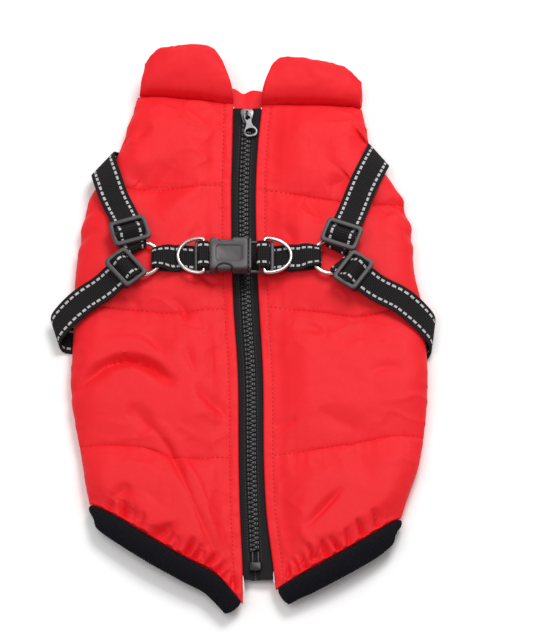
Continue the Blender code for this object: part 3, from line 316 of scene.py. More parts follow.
# %% [markdown]
# Shell nylon is a tight, thin taffeta: almost smooth, half matte, and a little crumpled all over.
# Its weave is far finer than a pixel, so bump draws only the crumple, at two sizes, and the faintest
# grain. The red drifts slightly, as dyed nylon does over padding.


# %% Finish of the shell and its thread
def nylon(paint):
    crumple, fine = paint.noise(70.0, 3.0), paint.noise(420.0, 2.0)
    drift = paint.noise(14.0)
    soft = paint.bump(crumple, 0.00045)
    softer = paint.bump(fine, 0.00006, soft)
    return {"Base Color": drift.blend((0.77, 0.0085, 0.015, 1), (0.83, 0.0120, 0.020, 1)),
            "Roughness": 0.54 + fine * 0.12,
            "Normal": paint.bump(paint.noise(2600.0, 1.0), 0.00003, softer)}


NYLON = finish("red_nylon", {"Specular IOR Level": 0.24}, nylon)
THREAD = finish("red_thread", {"Roughness": 0.75, "Specular IOR Level": 0.2}, lambda p: {
    "Base Color": p.noise(900.0).blend((0.38, 0.006, 0.010, 1), (0.52, 0.010, 0.014, 1)),
    "Normal": p.bump(p.noise(4000.0), 0.0001)})
print("shell finishes:", NYLON.name, THREAD.name)

# %% [markdown]
# Rib knit, webbing, zip tape and lining are told apart by how light breaks on them. The first three
# are made in rows, so their bump is built of sines read along the piece's own UV map, which is in
# millimetres. Too little of the lining and the threads shows for more than noise. The webbing's two
# reflective lines are part of its weave: a mask made of the distance across and the place along
# turns the black yarn light, dash by dash.


# %% Finishes of knit, webbing, tape and lining
def knit(paint):
    across, along = paint.cloth()
    loops = (across * 4.2).sine() * (along * 5.4).sine()
    lint = paint.noise(900.0, 4.0)
    return {"Base Color": lint.blend((0.002, 0.0021, 0.0038, 1), (0.0115, 0.0115, 0.0165, 1)),
            "Normal": paint.bump(loops + lint, 0.0003)}


KNIT = finish("black_rib_knit", {"Roughness": 0.95, "Sheen Weight": 0.03, "Sheen Roughness": 0.5,
                                 "Specular IOR Level": 0.06}, knit)
DASH_OUT, DASH_HALF, DASH_PITCH, DASH_SHARE = 6.5, 1.0, 4.3, 0.66      # reflective lines, mm


def webbing_weave(paint):
    across, along = paint.cloth()
    weft = (along * 4.4 + (across * 3.1).sine() * 0.9).sine()
    relief = weft * 0.6 + (across * 6.0).sine() * 0.4 + paint.noise(1500.0, 3.0) * 0.6
    wobble = paint.noise(400.0, 1.0)
    beside = (across.size() - DASH_OUT).size() + wobble * 0.35
    step = across.maths("FRACT", along / DASH_PITCH + wobble * 0.12)
    dash = beside.below(DASH_HALF) * step.below(DASH_SHARE)
    black = (relief * 0.5 + 0.3).blend((0.0025, 0.0022, 0.0024, 1), (0.032, 0.029, 0.030, 1))
    light = (relief * 0.4 + 0.4).blend((0.36, 0.35, 0.36, 1), (0.80, 0.78, 0.80, 1))
    return {"Base Color": dash.blend(black, light), "Roughness": 0.85 - dash * 0.3,
            "Normal": paint.bump(relief + dash * 0.8, 0.00030)}


WEBBING = finish("black_webbing", {"Specular IOR Level": 0.14}, webbing_weave)


def tape_weave(paint):
    across, along = paint.cloth()
    twill = (along * 7.0 + across * 7.0).sine()
    return {"Base Color": (twill * 0.5 + 0.5).blend((0.011, 0.010, 0.011, 1),
                                                    (0.022, 0.020, 0.021, 1)),
            "Normal": paint.bump(twill, 0.00007)}


TAPE = finish("zip_tape_weave", {"Roughness": 0.85, "Specular IOR Level": 0.15}, tape_weave)
LINING = finish("white_lining", {"Roughness": 0.9}, lambda p: {
    "Base Color": p.noise(60.0).blend((0.78, 0.78, 0.77, 1), (0.88, 0.88, 0.87, 1)),
    "Normal": p.bump(p.noise(900.0, 4.0), 0.0003)})
TAPE_THREAD = finish("grey_thread", {"Roughness": 0.7}, lambda p: {
    "Base Color": p.noise(700.0).blend((0.025, 0.025, 0.028, 1), (0.06, 0.06, 0.065, 1)),
    "Normal": p.bump(p.noise(4000.0), 0.0001)})
print("cloth finishes:", [m.name for m in (KNIT, WEBBING, TAPE, LINING, TAPE_THREAD)])

# %% [markdown]
# Hard pieces: the buckle and slide adjusters are moulded in grey-black acetal with a satin, faintly
# pebbled skin. The rings are nickel-plated wire, and the zip's slider is a grey die casting whose
# bridge is the same casting, coloured darker as a painted dark reflection. The zip's teeth are the
# blackest and the shiniest of the plastics.


# %% Finishes of the hard pieces
def satin(dark, light, rough):
    def painted(paint):
        wear = paint.noise(60.0, 3.0)
        return {"Base Color": wear.blend(dark, light), "Roughness": rough + wear * 0.12,
                "Normal": paint.bump(paint.noise(3200.0), 0.00002)}
    return painted


ACETAL = finish("black_acetal", {"Specular IOR Level": 0.5},
                satin((0.044, 0.038, 0.043, 1), (0.066, 0.058, 0.064, 1), 0.38))
ADJUSTER_PLASTIC = finish("grey_black_acetal", {"Specular IOR Level": 0.5},
                          satin((0.036, 0.032, 0.035, 1), (0.056, 0.051, 0.054, 1), 0.40))
TEETH = finish("moulded_teeth", {"Specular IOR Level": 0.35},
               satin((0.005, 0.005, 0.0055, 1), (0.012, 0.012, 0.0125, 1), 0.24))
PLATED = finish("nickel_plate", {"Metallic": 1.0}, lambda p: {
    "Base Color": p.noise(90.0).blend((0.52, 0.49, 0.47, 1), (0.66, 0.63, 0.61, 1)),
    "Roughness": 0.20 + p.noise(700.0, 3.0) * 0.10})


def casting(dark, light):
    return lambda p: {"Base Color": p.noise(300.0).blend(dark, light),
                      "Roughness": 0.26 + p.noise(1400.0, 3.0) * 0.15}


CAST = finish("grey_casting", {"Metallic": 0.8}, casting((0.10, 0.10, 0.105, 1), (0.22, 0.22, 0.23, 1)))
# Painted dark reflection: the bridge is the same grey casting, made darker to stand in for the dark
# reflection it shows.
BRIDGE_CAST_PAINTED_REFLECTION = finish("casting_painted_dark_reflection", {"Metallic": 0.6},
                   casting((0.02, 0.02, 0.021, 1), (0.045, 0.045, 0.047, 1)))
FLOOR = finish("floor_paper", {"Roughness": 0.9}, lambda p: {
    "Base Color": p.noise(3.0).blend((0.97, 0.97, 0.97, 1), (0.99, 0.99, 0.99, 1))})
floor.data.materials.append(FLOOR)
print("hard finishes:", [m.name for m in (ACETAL, ADJUSTER_PLASTIC, TEETH, PLATED, CAST, BRIDGE_CAST_PAINTED_REFLECTION)])

# %% [markdown]
# Two ways of making solids serve the whole coat. A wall starts as one flat grid, is extruded once so
# that it has two faces and a closed rim, and then each face is moved to its own surface. A roll
# starts as the same grid, is bent round until its long edges meet, and its ends are filled.


# %% Making a wall and a roll
def new_builder():
    builder = bmesh.new()
    builder.loops.layers.uv.new("cloth")
    return builder


def make_piece(builder, name, material, replaces=(), body="coat", crease=50):
    """Turn a finished bmesh into an object that rides on a body and stands for CAD nodes."""
    bmesh.ops.recalc_face_normals(builder, faces=builder.faces)
    mesh = bpy.data.meshes.new(name)
    builder.to_mesh(mesh)
    builder.free()
    mesh.shade_smooth()
    mesh.set_sharp_from_angle(angle=math.radians(crease))
    mesh.materials.append(material)
    made = bpy.data.objects.new(name, mesh)
    bpy.context.scene.collection.objects.link(made)
    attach(made, body)
    if replaces:
        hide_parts(*replaces)
    return made


def grid_spot(vert, rows, columns):
    return round((vert.co.y + 0.5) * (rows - 1)), round((vert.co.x + 0.5) * (columns - 1))


def lay_grid(builder, uv):
    """A flat grid with a vertex for each row and column of uv (mm), which becomes its UV map."""
    rows, columns = uv.shape[:2]
    made = bmesh.ops.create_grid(builder, x_segments=columns - 1, y_segments=rows - 1,
                                 size=0.5)["verts"]
    layer, marks = builder.loops.layers.uv["cloth"], uv.tolist()
    for face in {f for v in made for f in v.link_faces}:
        for loop in face.loops:
            i, j = grid_spot(loop.vert, rows, columns)
            loop[layer].uv = marks[i][j]
    return made


def move_to(verts, points):
    """Move the vertices of a flat grid to their points (drawing mm)."""
    rows, columns = points.shape[:2]
    there = place(points).tolist()
    for vert in verts:
        i, j = grid_spot(vert, rows, columns)
        vert.co = there[i][j]


def even_uv(points):
    """A UV map in mm for a grid of points: lengths across its middle row and down its columns."""
    return np.stack(np.meshgrid(spacing(points[len(points) // 2]), spacing(points.mean(axis=1))), -1)


def wall(name, outer, inner, material, replaces=(), body="coat", gone=None):
    """A closed wall between two grids of points (drawing mm); cells marked gone are left out."""
    rows, columns = outer.shape[:2]
    builder = new_builder()
    lay_grid(builder, even_uv(outer))
    if gone is not None:
        middles = {f: f.calc_center_median() for f in builder.faces}
        lost = [f for f, c in middles.items()
                if gone[int((c.y + 0.5) * (rows - 1)), int((c.x + 0.5) * (columns - 1))]]
        bmesh.ops.delete(builder, geom=lost, context="FACES")
    first = list(builder.verts)
    raised = bmesh.ops.extrude_face_region(builder, geom=list(builder.faces))["geom"]
    move_to(first, outer)
    move_to([v for v in raised if isinstance(v, bmesh.types.BMVert)], inner)
    return make_piece(builder, name, material, replaces, body)


def add_roll(builder, rings, closed=False, uv=None):
    """Add a tube through rings of points (drawing mm), joined end to end or with its ends filled."""
    if closed:
        rings = np.concatenate((rings, rings[:1]))
    rings = np.concatenate((rings, rings[:, :1]), axis=1)
    made = lay_grid(builder, even_uv(rings) if uv is None else uv)
    move_to(made, rings)
    bmesh.ops.remove_doubles(builder, verts=made, dist=1e-7)
    if not closed:
        rims = {e for v in made if v.is_valid for e in v.link_edges if e.is_boundary}
        bmesh.ops.holes_fill(builder, edges=list(rims), sides=0)


def open_hole(x, y, centre, radii):
    """Cells of a plan grid inside an oval, and the grid with the rim of that hole drawn onto it."""
    cell_x, cell_y = (0.25 * (a[1:, 1:] + a[:-1, 1:] + a[1:, :-1] + a[:-1, :-1]) for a in (x, y))
    inside = np.hypot((cell_x - centre[0]) / radii[0], (cell_y - centre[1]) / radii[1]) < 1.0
    padded = np.pad(inside, 1).astype(int)
    around = padded[1:, 1:] + padded[:-1, 1:] + padded[1:, :-1] + padded[:-1, :-1]
    rim = (around > 0) & (around < 4)
    away = np.maximum(np.hypot((x - centre[0]) / radii[0], (y - centre[1]) / radii[1]), 1e-6)
    return (inside, np.where(rim, centre[0] + (x - centre[0]) / away, x),
            np.where(rim, centre[1] + (y - centre[1]) / away, y))


print("wall() and add_roll() are ready")

# %% [markdown]
# The harness and the cloth shape each other: straps that turn down round the sides press the
# padding, and the belly is lifted where a strap passes under it. So the routes of the straps come
# before the cloth. Each route keeps the CAD's own heights and headings.

# %% Harness sizes and routes
WEB_WIDTH, WEB_THICK, WEB_LOOP_WIDTH = 19.6, 1.5, 14.0              # the last is round a ring
PRESS_CLEAR, PRESS_HALF, PRESS_FADE = 1.5, 12.0, 14.0               # cloth pressed under a strap
STRAP_LIFT, STRAP_LIFT_HALF, STRAP_LIFT_FADE = 2.6, 16.0, 20.0      # cloth raised over a strap
RING_R, RING_WIRE, RING_Z = 12.5, 1.5, 21.3     # radius of the ring and of its wire, height
HARNESS_LOW_Z = 18.75                           # middle of the webbing that lies on the coat
LOOP_TOP_Z = 2 * RING_Z - HARNESS_LOW_Z         # and of the layer that comes back over a ring
ADJUSTER_RISE = 2.65                            # an adjuster's middle above the webbing at its ends
ADJUSTER_DIP, ADJUSTER_CREST = 6.6, 1.5         # along the strap, where it is lowest and highest
SLOPE_STEP = 0.1                                # the step that a slope is read over
UNDER_LEAD = 6.0                                # straight start of a strap under the coat
# headings in degrees; "fold" is from a ring's middle to the outside of the webbing's turn
JUNCTIONS = {
    -1: {"ring": (-72.7, 257.6),
         "upper": {"at": (-80.7, 276.2), "heading": 107.0, "start": 118.0, "fold": 6.6},
         "lower": {"at": (-83.3, 248.4), "heading": 219.5, "start": 224.0, "fold": 4.0}},
    1: {"ring": (54.5, 259.0),
        "upper": {"at": (61.5, 273.5), "heading": 69.8, "start": 62.0, "fold": 5.6},
        "lower": {"at": (69.3, 246.2), "heading": -34.5, "start": -46.0, "fold": 6.0}},
}
# where a long strap turns round a side: a point, the way out, its slant, and the side it leans to
TURNS = {
    (-1, "upper"): {"at": (-97.7, 328.2), "out": 140.0, "lean": 34.0, "sense": -1},
    (-1, "lower"): {"at": (-125.0, 215.6), "out": 196.4, "lean": 24.6, "sense": 1},
    (1, "upper"): {"at": (84.4, 335.8), "out": 38.4, "lean": 28.6, "sense": 1},
    (1, "lower"): {"at": (116.6, 214.5), "out": -7.0, "lean": 33.1, "sense": -1},
}
# middle of the webbing round a side: outward from the turn's point, and height
TURN_PROFILE = np.array([
    (-22.0, 18.8), (-14.0, 18.2), (-8.0, 17.2), (-3.5, 15.9), (0.0, 14.3), (3.3, 12.4), (5.7, 10.0),
    (6.6, 7.0), (6.1, 3.7), (4.4, 1.5), (1.6, 0.88), (-5.0, 0.83), (-20.0, 0.83)])
TURN_LENGTHS = spacing(TURN_PROFILE)
TURN_ZERO = TURN_LENGTHS[4]
TURN_FROM, TURN_TO, TURN_BEND = 1.0, 11.15, (2.0, 9.9)
CHEST_MIDDLE = ((0.0, 333.5), 1.0)
GIRTH_MIDDLE = ((0.0, 191.5), 2.0)


def unit(degrees):
    turn = math.radians(degrees)
    return np.array((math.cos(turn), math.sin(turn), 0.0))


def presses(side, x, y):
    """For each strap that turns round this side: height it presses cloth down to, and how much."""
    for (turn_side, _), turn in TURNS.items():
        if turn_side == side:
            out, line = unit(turn["out"]), unit(turn["out"] + 90.0 * turn["sense"])
            away_x, away_y = x - turn["at"][0], y - turn["at"][1]
            reach = away_x * out[0] + away_y * out[1]
            length = curve(TURN_PROFILE[:7, 0], TURN_LENGTHS[:7], reach)
            lean = math.radians(turn["lean"])
            along = away_x * line[0] + away_y * line[1]
            beside = abs(along - (length - TURN_ZERO) * math.tan(lean)) * math.cos(lean)
            weight = 1.0 - smooth((beside - PRESS_HALF) / PRESS_FADE)
            on_it = (reach > TURN_PROFILE[0, 0]) & (reach < TURN_PROFILE[6, 0])
            yield curve(TURN_LENGTHS, TURN_PROFILE[:, 1], length) - PRESS_CLEAR, weight * on_it


def plan_curve(points, headings, count):
    """Plan points along cubic pieces through points with given headings."""
    made = []
    for p, q, a, b in zip(points, points[1:], headings, headings[1:]):
        p, q = np.array(p, float), np.array(q, float)
        m0, m1 = (unit(angle)[:2] * np.linalg.norm(q - p) for angle in (a, b))
        t = np.arange(count)[:, None] / count
        made.append(p * (2 * t**3 - 3 * t**2 + 1) + m0 * (t**3 - 2 * t**2 + t)
                    + q * (3 * t**2 - 2 * t**3) + m1 * (t**3 - t**2))
    return np.concatenate(made + [np.array(points[-1:], float)])


def turn_length(place_in_table):
    return float(curve(range(len(TURN_LENGTHS)), TURN_LENGTHS, place_in_table))


def turn_spot(turn, length, slide):
    """A point on the bent sheet that a strap lies in round a side, and the way it faces."""
    out, line = unit(turn["out"]), unit(turn["out"] + 90.0 * turn["sense"])
    reach, height = (curve(TURN_LENGTHS, TURN_PROFILE[:, k], length) for k in (0, 1))
    reach_on, height_on = (curve(TURN_LENGTHS, TURN_PROFILE[:, k], length + SLOPE_STEP) for k in (0, 1))
    spot = np.array((*turn["at"], 0.0)) + out * reach + line * slide + UP * height
    return spot, normalised(out * (height - height_on) + UP * (reach_on - reach))


def turn_edges(turn, place_in_table):
    """Both edges of a strap round a side: cut square to it at its ends, along the fold between."""
    length, lean = turn_length(place_in_table), math.radians(turn["lean"])
    slide = (length - TURN_ZERO) * math.tan(lean)
    half = 0.5 * WEB_WIDTH * turn["sense"]
    square = [turn_spot(turn, length + s * half * math.sin(lean), slide - s * half * math.cos(lean))
              for s in (1, -1)]
    folded = [turn_spot(turn, length, slide - s * half / math.cos(lean)) for s in (1, -1)]
    at_start = smooth((place_in_table - TURN_FROM) / (TURN_BEND[0] - TURN_FROM))
    at_end = smooth((TURN_TO - place_in_table) / (TURN_TO - TURN_BEND[1]))
    return mix(np.array(square), np.array(folded), at_start * at_end)


def turn_middle(turn, length):
    """Plan point and heading of the middle of the strap at a length round the turn."""
    lean = math.radians(turn["lean"])
    spot = turn_spot(turn, length, (length - TURN_ZERO) * math.tan(lean))[0]
    ahead = 1 if length < TURN_ZERO else -1
    way = (unit(turn["out"]) * ahead * math.cos(lean)
           + unit(turn["out"] + 90.0 * turn["sense"]) * math.sin(lean))
    return spot[:2], math.degrees(math.atan2(way[1], way[0]))


def under_path(which, middle):
    """Plan points of the strap under the coat, from the left turn to the right turn."""
    (start, heading), (end, back) = (turn_middle(TURNS[side, which], turn_length(TURN_TO))
                                     for side in (-1, 1))
    first, last = start + unit(heading)[:2] * UNDER_LEAD, end + unit(back)[:2] * UNDER_LEAD
    return plan_curve([start, first, middle[0], last, end],
                      [heading, heading, middle[1], back - 180.0, back - 180.0], 20)


UNDER_PATHS = {"chest_strap": under_path("upper", CHEST_MIDDLE),
               "girth_strap": under_path("lower", GIRTH_MIDDLE)}


def strap_lift(x, y):
    """How far cloth on the ground is raised by the strap that passes under it."""
    lift = 0.0 * x
    for path in UNDER_PATHS.values():
        away = abs(y - curve(path[:, 0], path[:, 1], x)) - STRAP_LIFT_HALF
        lift = np.maximum(lift, STRAP_LIFT * (1.0 - smooth(away / STRAP_LIFT_FADE)))
    return lift


print("straps under the coat (mm):", {n: round(spacing(p)[-1]) for n, p in UNDER_PATHS.items()})

# %% [markdown]
# The back panels' own surface. Each row of quilting pinches the padding, each placket is a flat
# folded edge over the zip tape, and at the side the panel rolls down and under to a side seam. The
# column coordinate c counts the CAD solid's columns, so a place on it is the same place here.

# %% Heights of the padded back
SHELL_AT_SEAM, PUFF = 5.6, 5.6
PLACKET_TOP, PLACKET_WIDTH, PLACKET_LIFT = 11.2, 9.5, 2.5
STITCH_IN = 6.1                     # topstitch beside the zip, from the folded edge
BACK_UNDER, BELLY_THICK = 6.2, 5.2
SIDE_ROLL_Z, SIDE_ROLL_TOP, SIDE_ROLL_UNDER, SIDE_SEAM = 6.5, 20.0, 11.0, 24.0
TOP_IN = (0.0, PLACKET_WIDTH, 18.0, 32.0)
ROLL_OUTER = (SIDE_ROLL_TOP, 10.0, 4.0, 1.0, 0.0)
ROLL_INNER = (SIDE_ROLL_TOP, 12.0, 8.5, 6.5, 5.6)
UNDER_INNER = (5.6, 6.5, 8.5, 11.0, 17.0, SIDE_SEAM)        # how far in, from the widest line on
ROLL_ANGLES = (0, 35, 65, 90)       # degrees round the side, column by column from the widest line
ROLL_INNER_Z = 5.75                 # inner face at the widest line
WIDEST = 9                          # column of the widest line
SOFT_TOP, SOFT_SPARE = 17.1, 0.75   # padding stays below the straps that lie on it
# section of the padding between two rows: share and power of its round part, share of its flat
# part, and how soon that is full
PUFF_ROUND, PUFF_POWER, PUFF_FLAT, PUFF_FULL = 0.45, 0.55, 0.55, 1.25
PADDED_IN, PLACKET_FADE = 26.0, 12.0        # from the topstitch: full padding, end of the placket
HEM_FADE = 0.25                     # share of the first band over which the padding starts


def back_under(r, f):
    return mix(curve(STATIONS, HEM_UNDER, f), BACK_UNDER, smooth(r))


def across_panel(side, c, r, roll_in):
    """Station f of column c on row r, from the placket (c = 0) to the widest line (c = 9)."""
    y = row_y(side, r, 0.3)
    width = abs(side_x(side, y) - placket_x(side, y))
    stops = [d / width for d in TOP_IN]
    far = [1.0 - d / width for d in roll_in]
    stops += [mix(stops[-1], far[0], 0.5)] + far
    f = stops[0]
    for k in range(WIDEST):
        f = f + (stops[k + 1] - stops[k]) * np.clip(c - k, 0.0, 1.0)
    return f


def back_top(side, r, f, x, y):
    """Top of the padded back: pinched at each row and placket, puffed between, rounded at the side."""
    width = abs(side_x(side, y) - placket_x(side, y))
    inward, outward = f * width, (1.0 - f) * width
    puffed = np.sin(math.pi * np.clip(r - np.floor(r), 0.0, 1.0))
    band = PUFF_ROUND * puffed**PUFF_POWER + PUFF_FLAT * np.minimum(1.0, PUFF_FULL * puffed)
    band = np.where(r < NECK, band, 0.0) * np.where(r < 1.0, smooth(r / HEM_FADE), 1.0)
    top = back_under(r, f) + SHELL_AT_SEAM + PUFF * band * smooth((inward - STITCH_IN) / PADDED_IN)
    edge = np.minimum(PLACKET_TOP, back_under(r, f) + PLACKET_TOP - BACK_UNDER)
    top = mix(edge, top, smooth((inward - STITCH_IN) / PLACKET_FADE))
    fall = np.clip((SIDE_ROLL_TOP - outward) / SIDE_ROLL_TOP, 0.0, 1.0)
    top = mix(SIDE_ROLL_Z, top, np.sqrt(1.0 - fall * fall))
    for limit, weight in presses(side, x, y):
        top = np.minimum(top, mix(top, np.maximum(limit, SIDE_ROLL_Z), weight))
    return top


print("back puffed to", BACK_UNDER + SHELL_AT_SEAM + PUFF, "mm between its rows")

# %% [markdown]
# Folds. Nylon over padding folds where the coat bends: long soft troughs across the flanks, one
# sharp arc on the left, a crease across the lowest row down to the hem, and short gathers where the
# stretched binding draws the hem in. They are placed one by one, each as a line on the drawing with a
# depth and a width to each side, because a simulation would fold the cloth somewhere else.

# %% Folds of the back panels, placed one by one
# depth (below 0 a trough), width to the left and right of the line, 1 where it starts at full
# depth and 0 where it starts from nothing, and its line
FOLDS = [
    (-3.6, 2.8, 5.4, 0, [(-121, 160), (-108.5, 170), (-92.5, 182.5), (-80.4, 185), (-67, 181),
                         (-57.6, 172.6), (-48.2, 166.6)]),
    (1.3, 7.0, 3.6, 0, [(-104, 180), (-92, 189), (-79, 191.4), (-67, 187.4), (-57, 179.6), (-48, 170)]),
    (-1.2, 3.0, 4.4, 0, [(-93, 182), (-80.4, 184.6), (-68, 180.6), (-58, 173), (-50, 165)]),
    (-1.5, 6.0, 6.0, 0, [(-71, 206), (-61.6, 191.6), (-54.3, 174)]),
    (-1.4, 4.0, 4.0, 0, [(-44.9, 199), (-40.2, 184), (-36.9, 170)]),
    (-1.3, 3.0, 3.0, 0, [(-37, 165), (-28.1, 155.2), (-22.1, 150.6), (-14.5, 142)]),
    (-1.5, 5.0, 6.0, 0, [(-80, 151), (-73.7, 142.3), (-67, 131)]),
    (-1.3, 2.0, 2.2, 0, [(-73, 140), (-61.6, 128.6), (-54.9, 119.5), (-50.9, 110.4), (-40.9, 85.4),
                         (-28.8, 54.3), (-17.5, 31)]),
    (1.1, 4.0, 4.0, 0, [(-64, 137), (-50, 121), (-44.5, 108), (-35.5, 85), (-23.5, 54), (-14, 34)]),
    (-1.0, 3.0, 3.0, 0, [(-89, 237), (-80.4, 231), (-73, 227)]),
    (-1.1, 2.4, 2.4, 0, [(-51, 232), (-44.9, 224.2), (-41.5, 215)]),
    (-1.0, 2.4, 2.4, 0, [(-34, 249.5), (-31.5, 247.7), (-22.5, 242)]),
    (-2.6, 5.0, 6.0, 0, [(-90.5, 78), (-85.1, 84.6), (-80, 91)]),
    (-1.4, 7.0, 7.0, 0, [(-86, 80), (-80, 70), (-76, 62)]),
    (-1.4, 9.0, 9.0, 0, [(-72, 88), (-62.3, 77), (-52, 66)]),
    (1.4, 9.0, 9.0, 0, [(-88, 103), (-74, 97), (-62, 95)]),
    (-3.2, 3.2, 3.6, 1, [(-65.5, 49.5), (-58.3, 54.3), (-52.9, 58.1), (-46, 62)]),
    (-1.5, 7.0, 7.0, 0, [(-38, 345), (-52.3, 329.7), (-60.3, 319.1), (-67, 299)]),
    (-1.9, 5.0, 5.0, 0, [(-92, 330), (-81.1, 323.6), (-69, 318.5)]),
    (-1.4, 4.0, 4.0, 0, [(-100, 292), (-107.2, 301.6), (-113, 307)]),
    (1.0, 6.0, 6.0, 0, [(-60, 291), (-45, 306), (-27, 322)]),
    (-0.8, 3.0, 3.0, 0, [(-31, 284), (-38, 279), (-43, 272)]),
    (-2.4, 4.0, 3.6, 0, [(63, 88), (48.2, 70.8), (36, 56)]),
    (1.4, 4.5, 4.5, 0, [(68, 84), (54.9, 67), (43, 51)]),
    (1.1, 2.6, 3.0, 0, [(33, 58), (40.2, 47.2), (44, 37)]),
    (0.9, 3.0, 3.0, 0, [(67, 76), (62.3, 63.2), (60, 52)]),
    (-1.0, 8.0, 8.0, 0, [(66, 118), (76, 103), (82, 88)]),
    (-0.8, 4.0, 4.0, 0, [(36, 212), (44, 208), (54, 206.5)]),
    (-0.9, 3.0, 3.0, 0, [(15, 136), (22, 137), (31, 141)]),
    (-1.2, 6.0, 6.0, 0, [(46, 146), (62, 137), (78, 131)]),
    (-1.9, 5.0, 5.0, 0, [(51, 315.5), (63.7, 320.6), (72, 326)]),
    (-1.0, 3.5, 3.5, 0, [(36, 309), (42.9, 297.8), (48, 287)]),
    (-1.1, 4.0, 4.0, 0, [(20, 288), (26.8, 278.1), (31, 270)]),
    (-1.4, 4.0, 4.0, 0, [(83, 307), (88, 301), (94, 294)]),
    (-0.8, 9.0, 9.0, 0, [(30, 354), (44, 347), (60, 341)]),
    (-0.9, 4.0, 4.0, 0, [(78, 172), (90, 178), (104, 176)]),
    (-1.3, 3.0, 3.0, 1, [(-119, 293), (-110, 297), (-99, 304)]),
    (-1.2, 2.6, 2.6, 1, [(-120, 275), (-112, 278), (-103, 284)]),
    (-1.2, 2.6, 2.6, 1, [(116, 276), (108, 280), (98, 289)]),
    (-1.4, 2.8, 2.8, 1, [(114, 294), (105, 299), (94, 308)]),
    (1.0, 3.0, 3.0, 1, [(112, 304), (103, 308), (92, 315)]),
    (-1.2, 5.0, 5.0, 0, [(46, 340), (57, 331), (66, 322)]),
    (-1.6, 4.0, 4.0, 0, [(-79, 352), (-72, 358), (-66, 361)]),
]
FOLD_SCALE = 1.7                            # every depth is made this much larger
GATHER_SCALE, GATHER_STRETCH = 1.5, 1.2     # a gather's depth and length too, by these
GATHER_WIDE, GATHER_BOW = (1.3, 1.9), 0.6   # its width to each side, and how far it bows
FOLD_STEPS, FOLD_REACH = 9, 3.2             # steps for each point of a line; reach, in widths
FOLD_SHOULDER, FOLD_FALL = 0.35, 0.6        # its section: rise beside it, and how fast it ends
TROUGH_POWER, RIDGE_POWER, END_POWER = 1.25, 2.0, 0.7       # a trough is sharper than a ridge
# gathers at the hem: x and y where each starts, length, heading, depth
GATHERS = [
    (-94.5, 74, 8, 70, 0.9), (-84.6, 68.5, 9, 105, 1.3), (-74, 60, 9, 70, 0.8),
    (-58.5, 47, 9, 45, 1.4), (-50, 43, 7, 75, 0.8), (-43, 38.5, 11, 65, 1.8),
    (-38.4, 34, 11, 60, 1.9), (-33, 32, 8, 75, 1.2), (-29.7, 31, 11, 50, 1.8),
    (-23.7, 25.5, 11, 48, 1.7), (-18.5, 22, 9, 52, 1.2), (-11.5, 16, 9, 92, 1.5),
    (85, 61, 9, 108, 1.2), (75.3, 54, 9, 115, 1.5), (66, 46.3, 9, 104, 1.0),
    (58.6, 43, 8, 128, 1.6), (51, 38, 9, 110, 1.6), (45, 36, 7, 85, 1.0), (41.7, 34.5, 10, 108, 1.5),
    (37, 29.5, 10, 115, 1.5), (31.6, 27, 9, 112, 1.3), (25, 24, 9, 95, 1.3),
]
for x, y, length, heading, depth in GATHERS:
    tip = unit(heading) * length * GATHER_STRETCH + (x, y, 0.0)
    bowed = (0.5 * (x + tip[0]) + GATHER_BOW, 0.5 * (y + tip[1]))
    FOLDS.append((-depth * GATHER_SCALE, *GATHER_WIDE, 1, [(x, y), bowed, (tip[0], tip[1])]))


def fold_height(x, y):
    """Height (mm) that the folds add at plan points x, y: a trough with low shoulders beside it."""
    height = np.zeros_like(x)
    for depth, wide_left, wide_right, open_start, line in FOLDS:
        line = np.array(line, float)
        marks = spacing(line)
        fine = np.linspace(0.0, marks[-1], FOLD_STEPS * len(line))
        path = np.stack([curve(marks, line[:, k], fine) for k in (0, 1)], -1)
        reach = FOLD_REACH * max(wide_left, wide_right)
        low, high = path.min(axis=0) - reach, path.max(axis=0) + reach
        near = (x > low[0]) & (x < high[0]) & (y > low[1]) & (y < high[1])
        if not near.any():
            continue
        start, step = path[:-1], np.diff(path, axis=0)
        off_x, off_y = x[near][:, None] - start[:, 0], y[near][:, None] - start[:, 1]
        t = np.clip((off_x * step[:, 0] + off_y * step[:, 1]) / (step**2).sum(axis=1), 0.0, 1.0)
        away = np.hypot(off_x - t * step[:, 0], off_y - t * step[:, 1])
        k = away.argmin(axis=1)
        pick = (np.arange(len(k)), k)
        left = step[k, 0] * off_y[pick] > step[k, 1] * off_x[pick]
        place_on = (k + t[pick]) / len(step)
        scaled = away[pick] / np.where(left, wide_left, wide_right)
        ends = np.cos(0.5 * math.pi * place_on) if open_start else np.sin(math.pi * place_on)
        power = TROUGH_POWER if depth < 0 else RIDGE_POWER
        height[near] += (FOLD_SCALE * depth * np.clip(ends, 0.0, 1.0)**END_POWER
                         * (1.0 - FOLD_SHOULDER * scaled**2) * np.exp(-FOLD_FALL * scaled**power))
    return height


deepest = FOLD_SCALE * max(-depth for depth, *_ in FOLDS)
print(len(FOLDS), "folds and gathers, the deepest", round(deepest, 1), "mm")

# %% [markdown]
# Small relief. Between two stitches the cloth rises, and short wrinkles run out square from every
# row of quilting. Smooth noise, stretched so that it is short along the seam and long away from it,
# draws them. The displacement goes along the surface's normal, so the side edges ripple too.

# %% Puckers, ripples and stitch dents
STITCH_PITCH = 3.3
WRINKLE, CRUMPLE, CREASE = 0.55, 0.22, 0.8              # heights of the relief away from seams, mm
ROW_PUCKER, ROW_PUCKER_FADE = 0.75, 8.0                 # beside a row: height, and how far out
ROW_DENT, ROW_DENT_HALF = 0.45, 1.3                     # on it: depth, and half its width
EDGE_PUCKER, EDGE_PUCKER_FADE = 0.45, 5.0               # the same beside the zip's topstitch
EDGE_DENT, EDGE_DENT_HALF = 0.60, 1.1
NECK_DENT, NECK_DENT_HALF = 1.1, 1.9                    # the seam that the collar is sewn into


def ripple(x, y, z=0.0):
    """Smooth noise, about -1 to 1, at arrays of points."""
    x, y = np.broadcast_arrays(x, y)
    return np.array([noise.noise((a, b, z)) for a, b in zip(x.ravel().tolist(), y.ravel().tolist())]
                    ).reshape(x.shape)


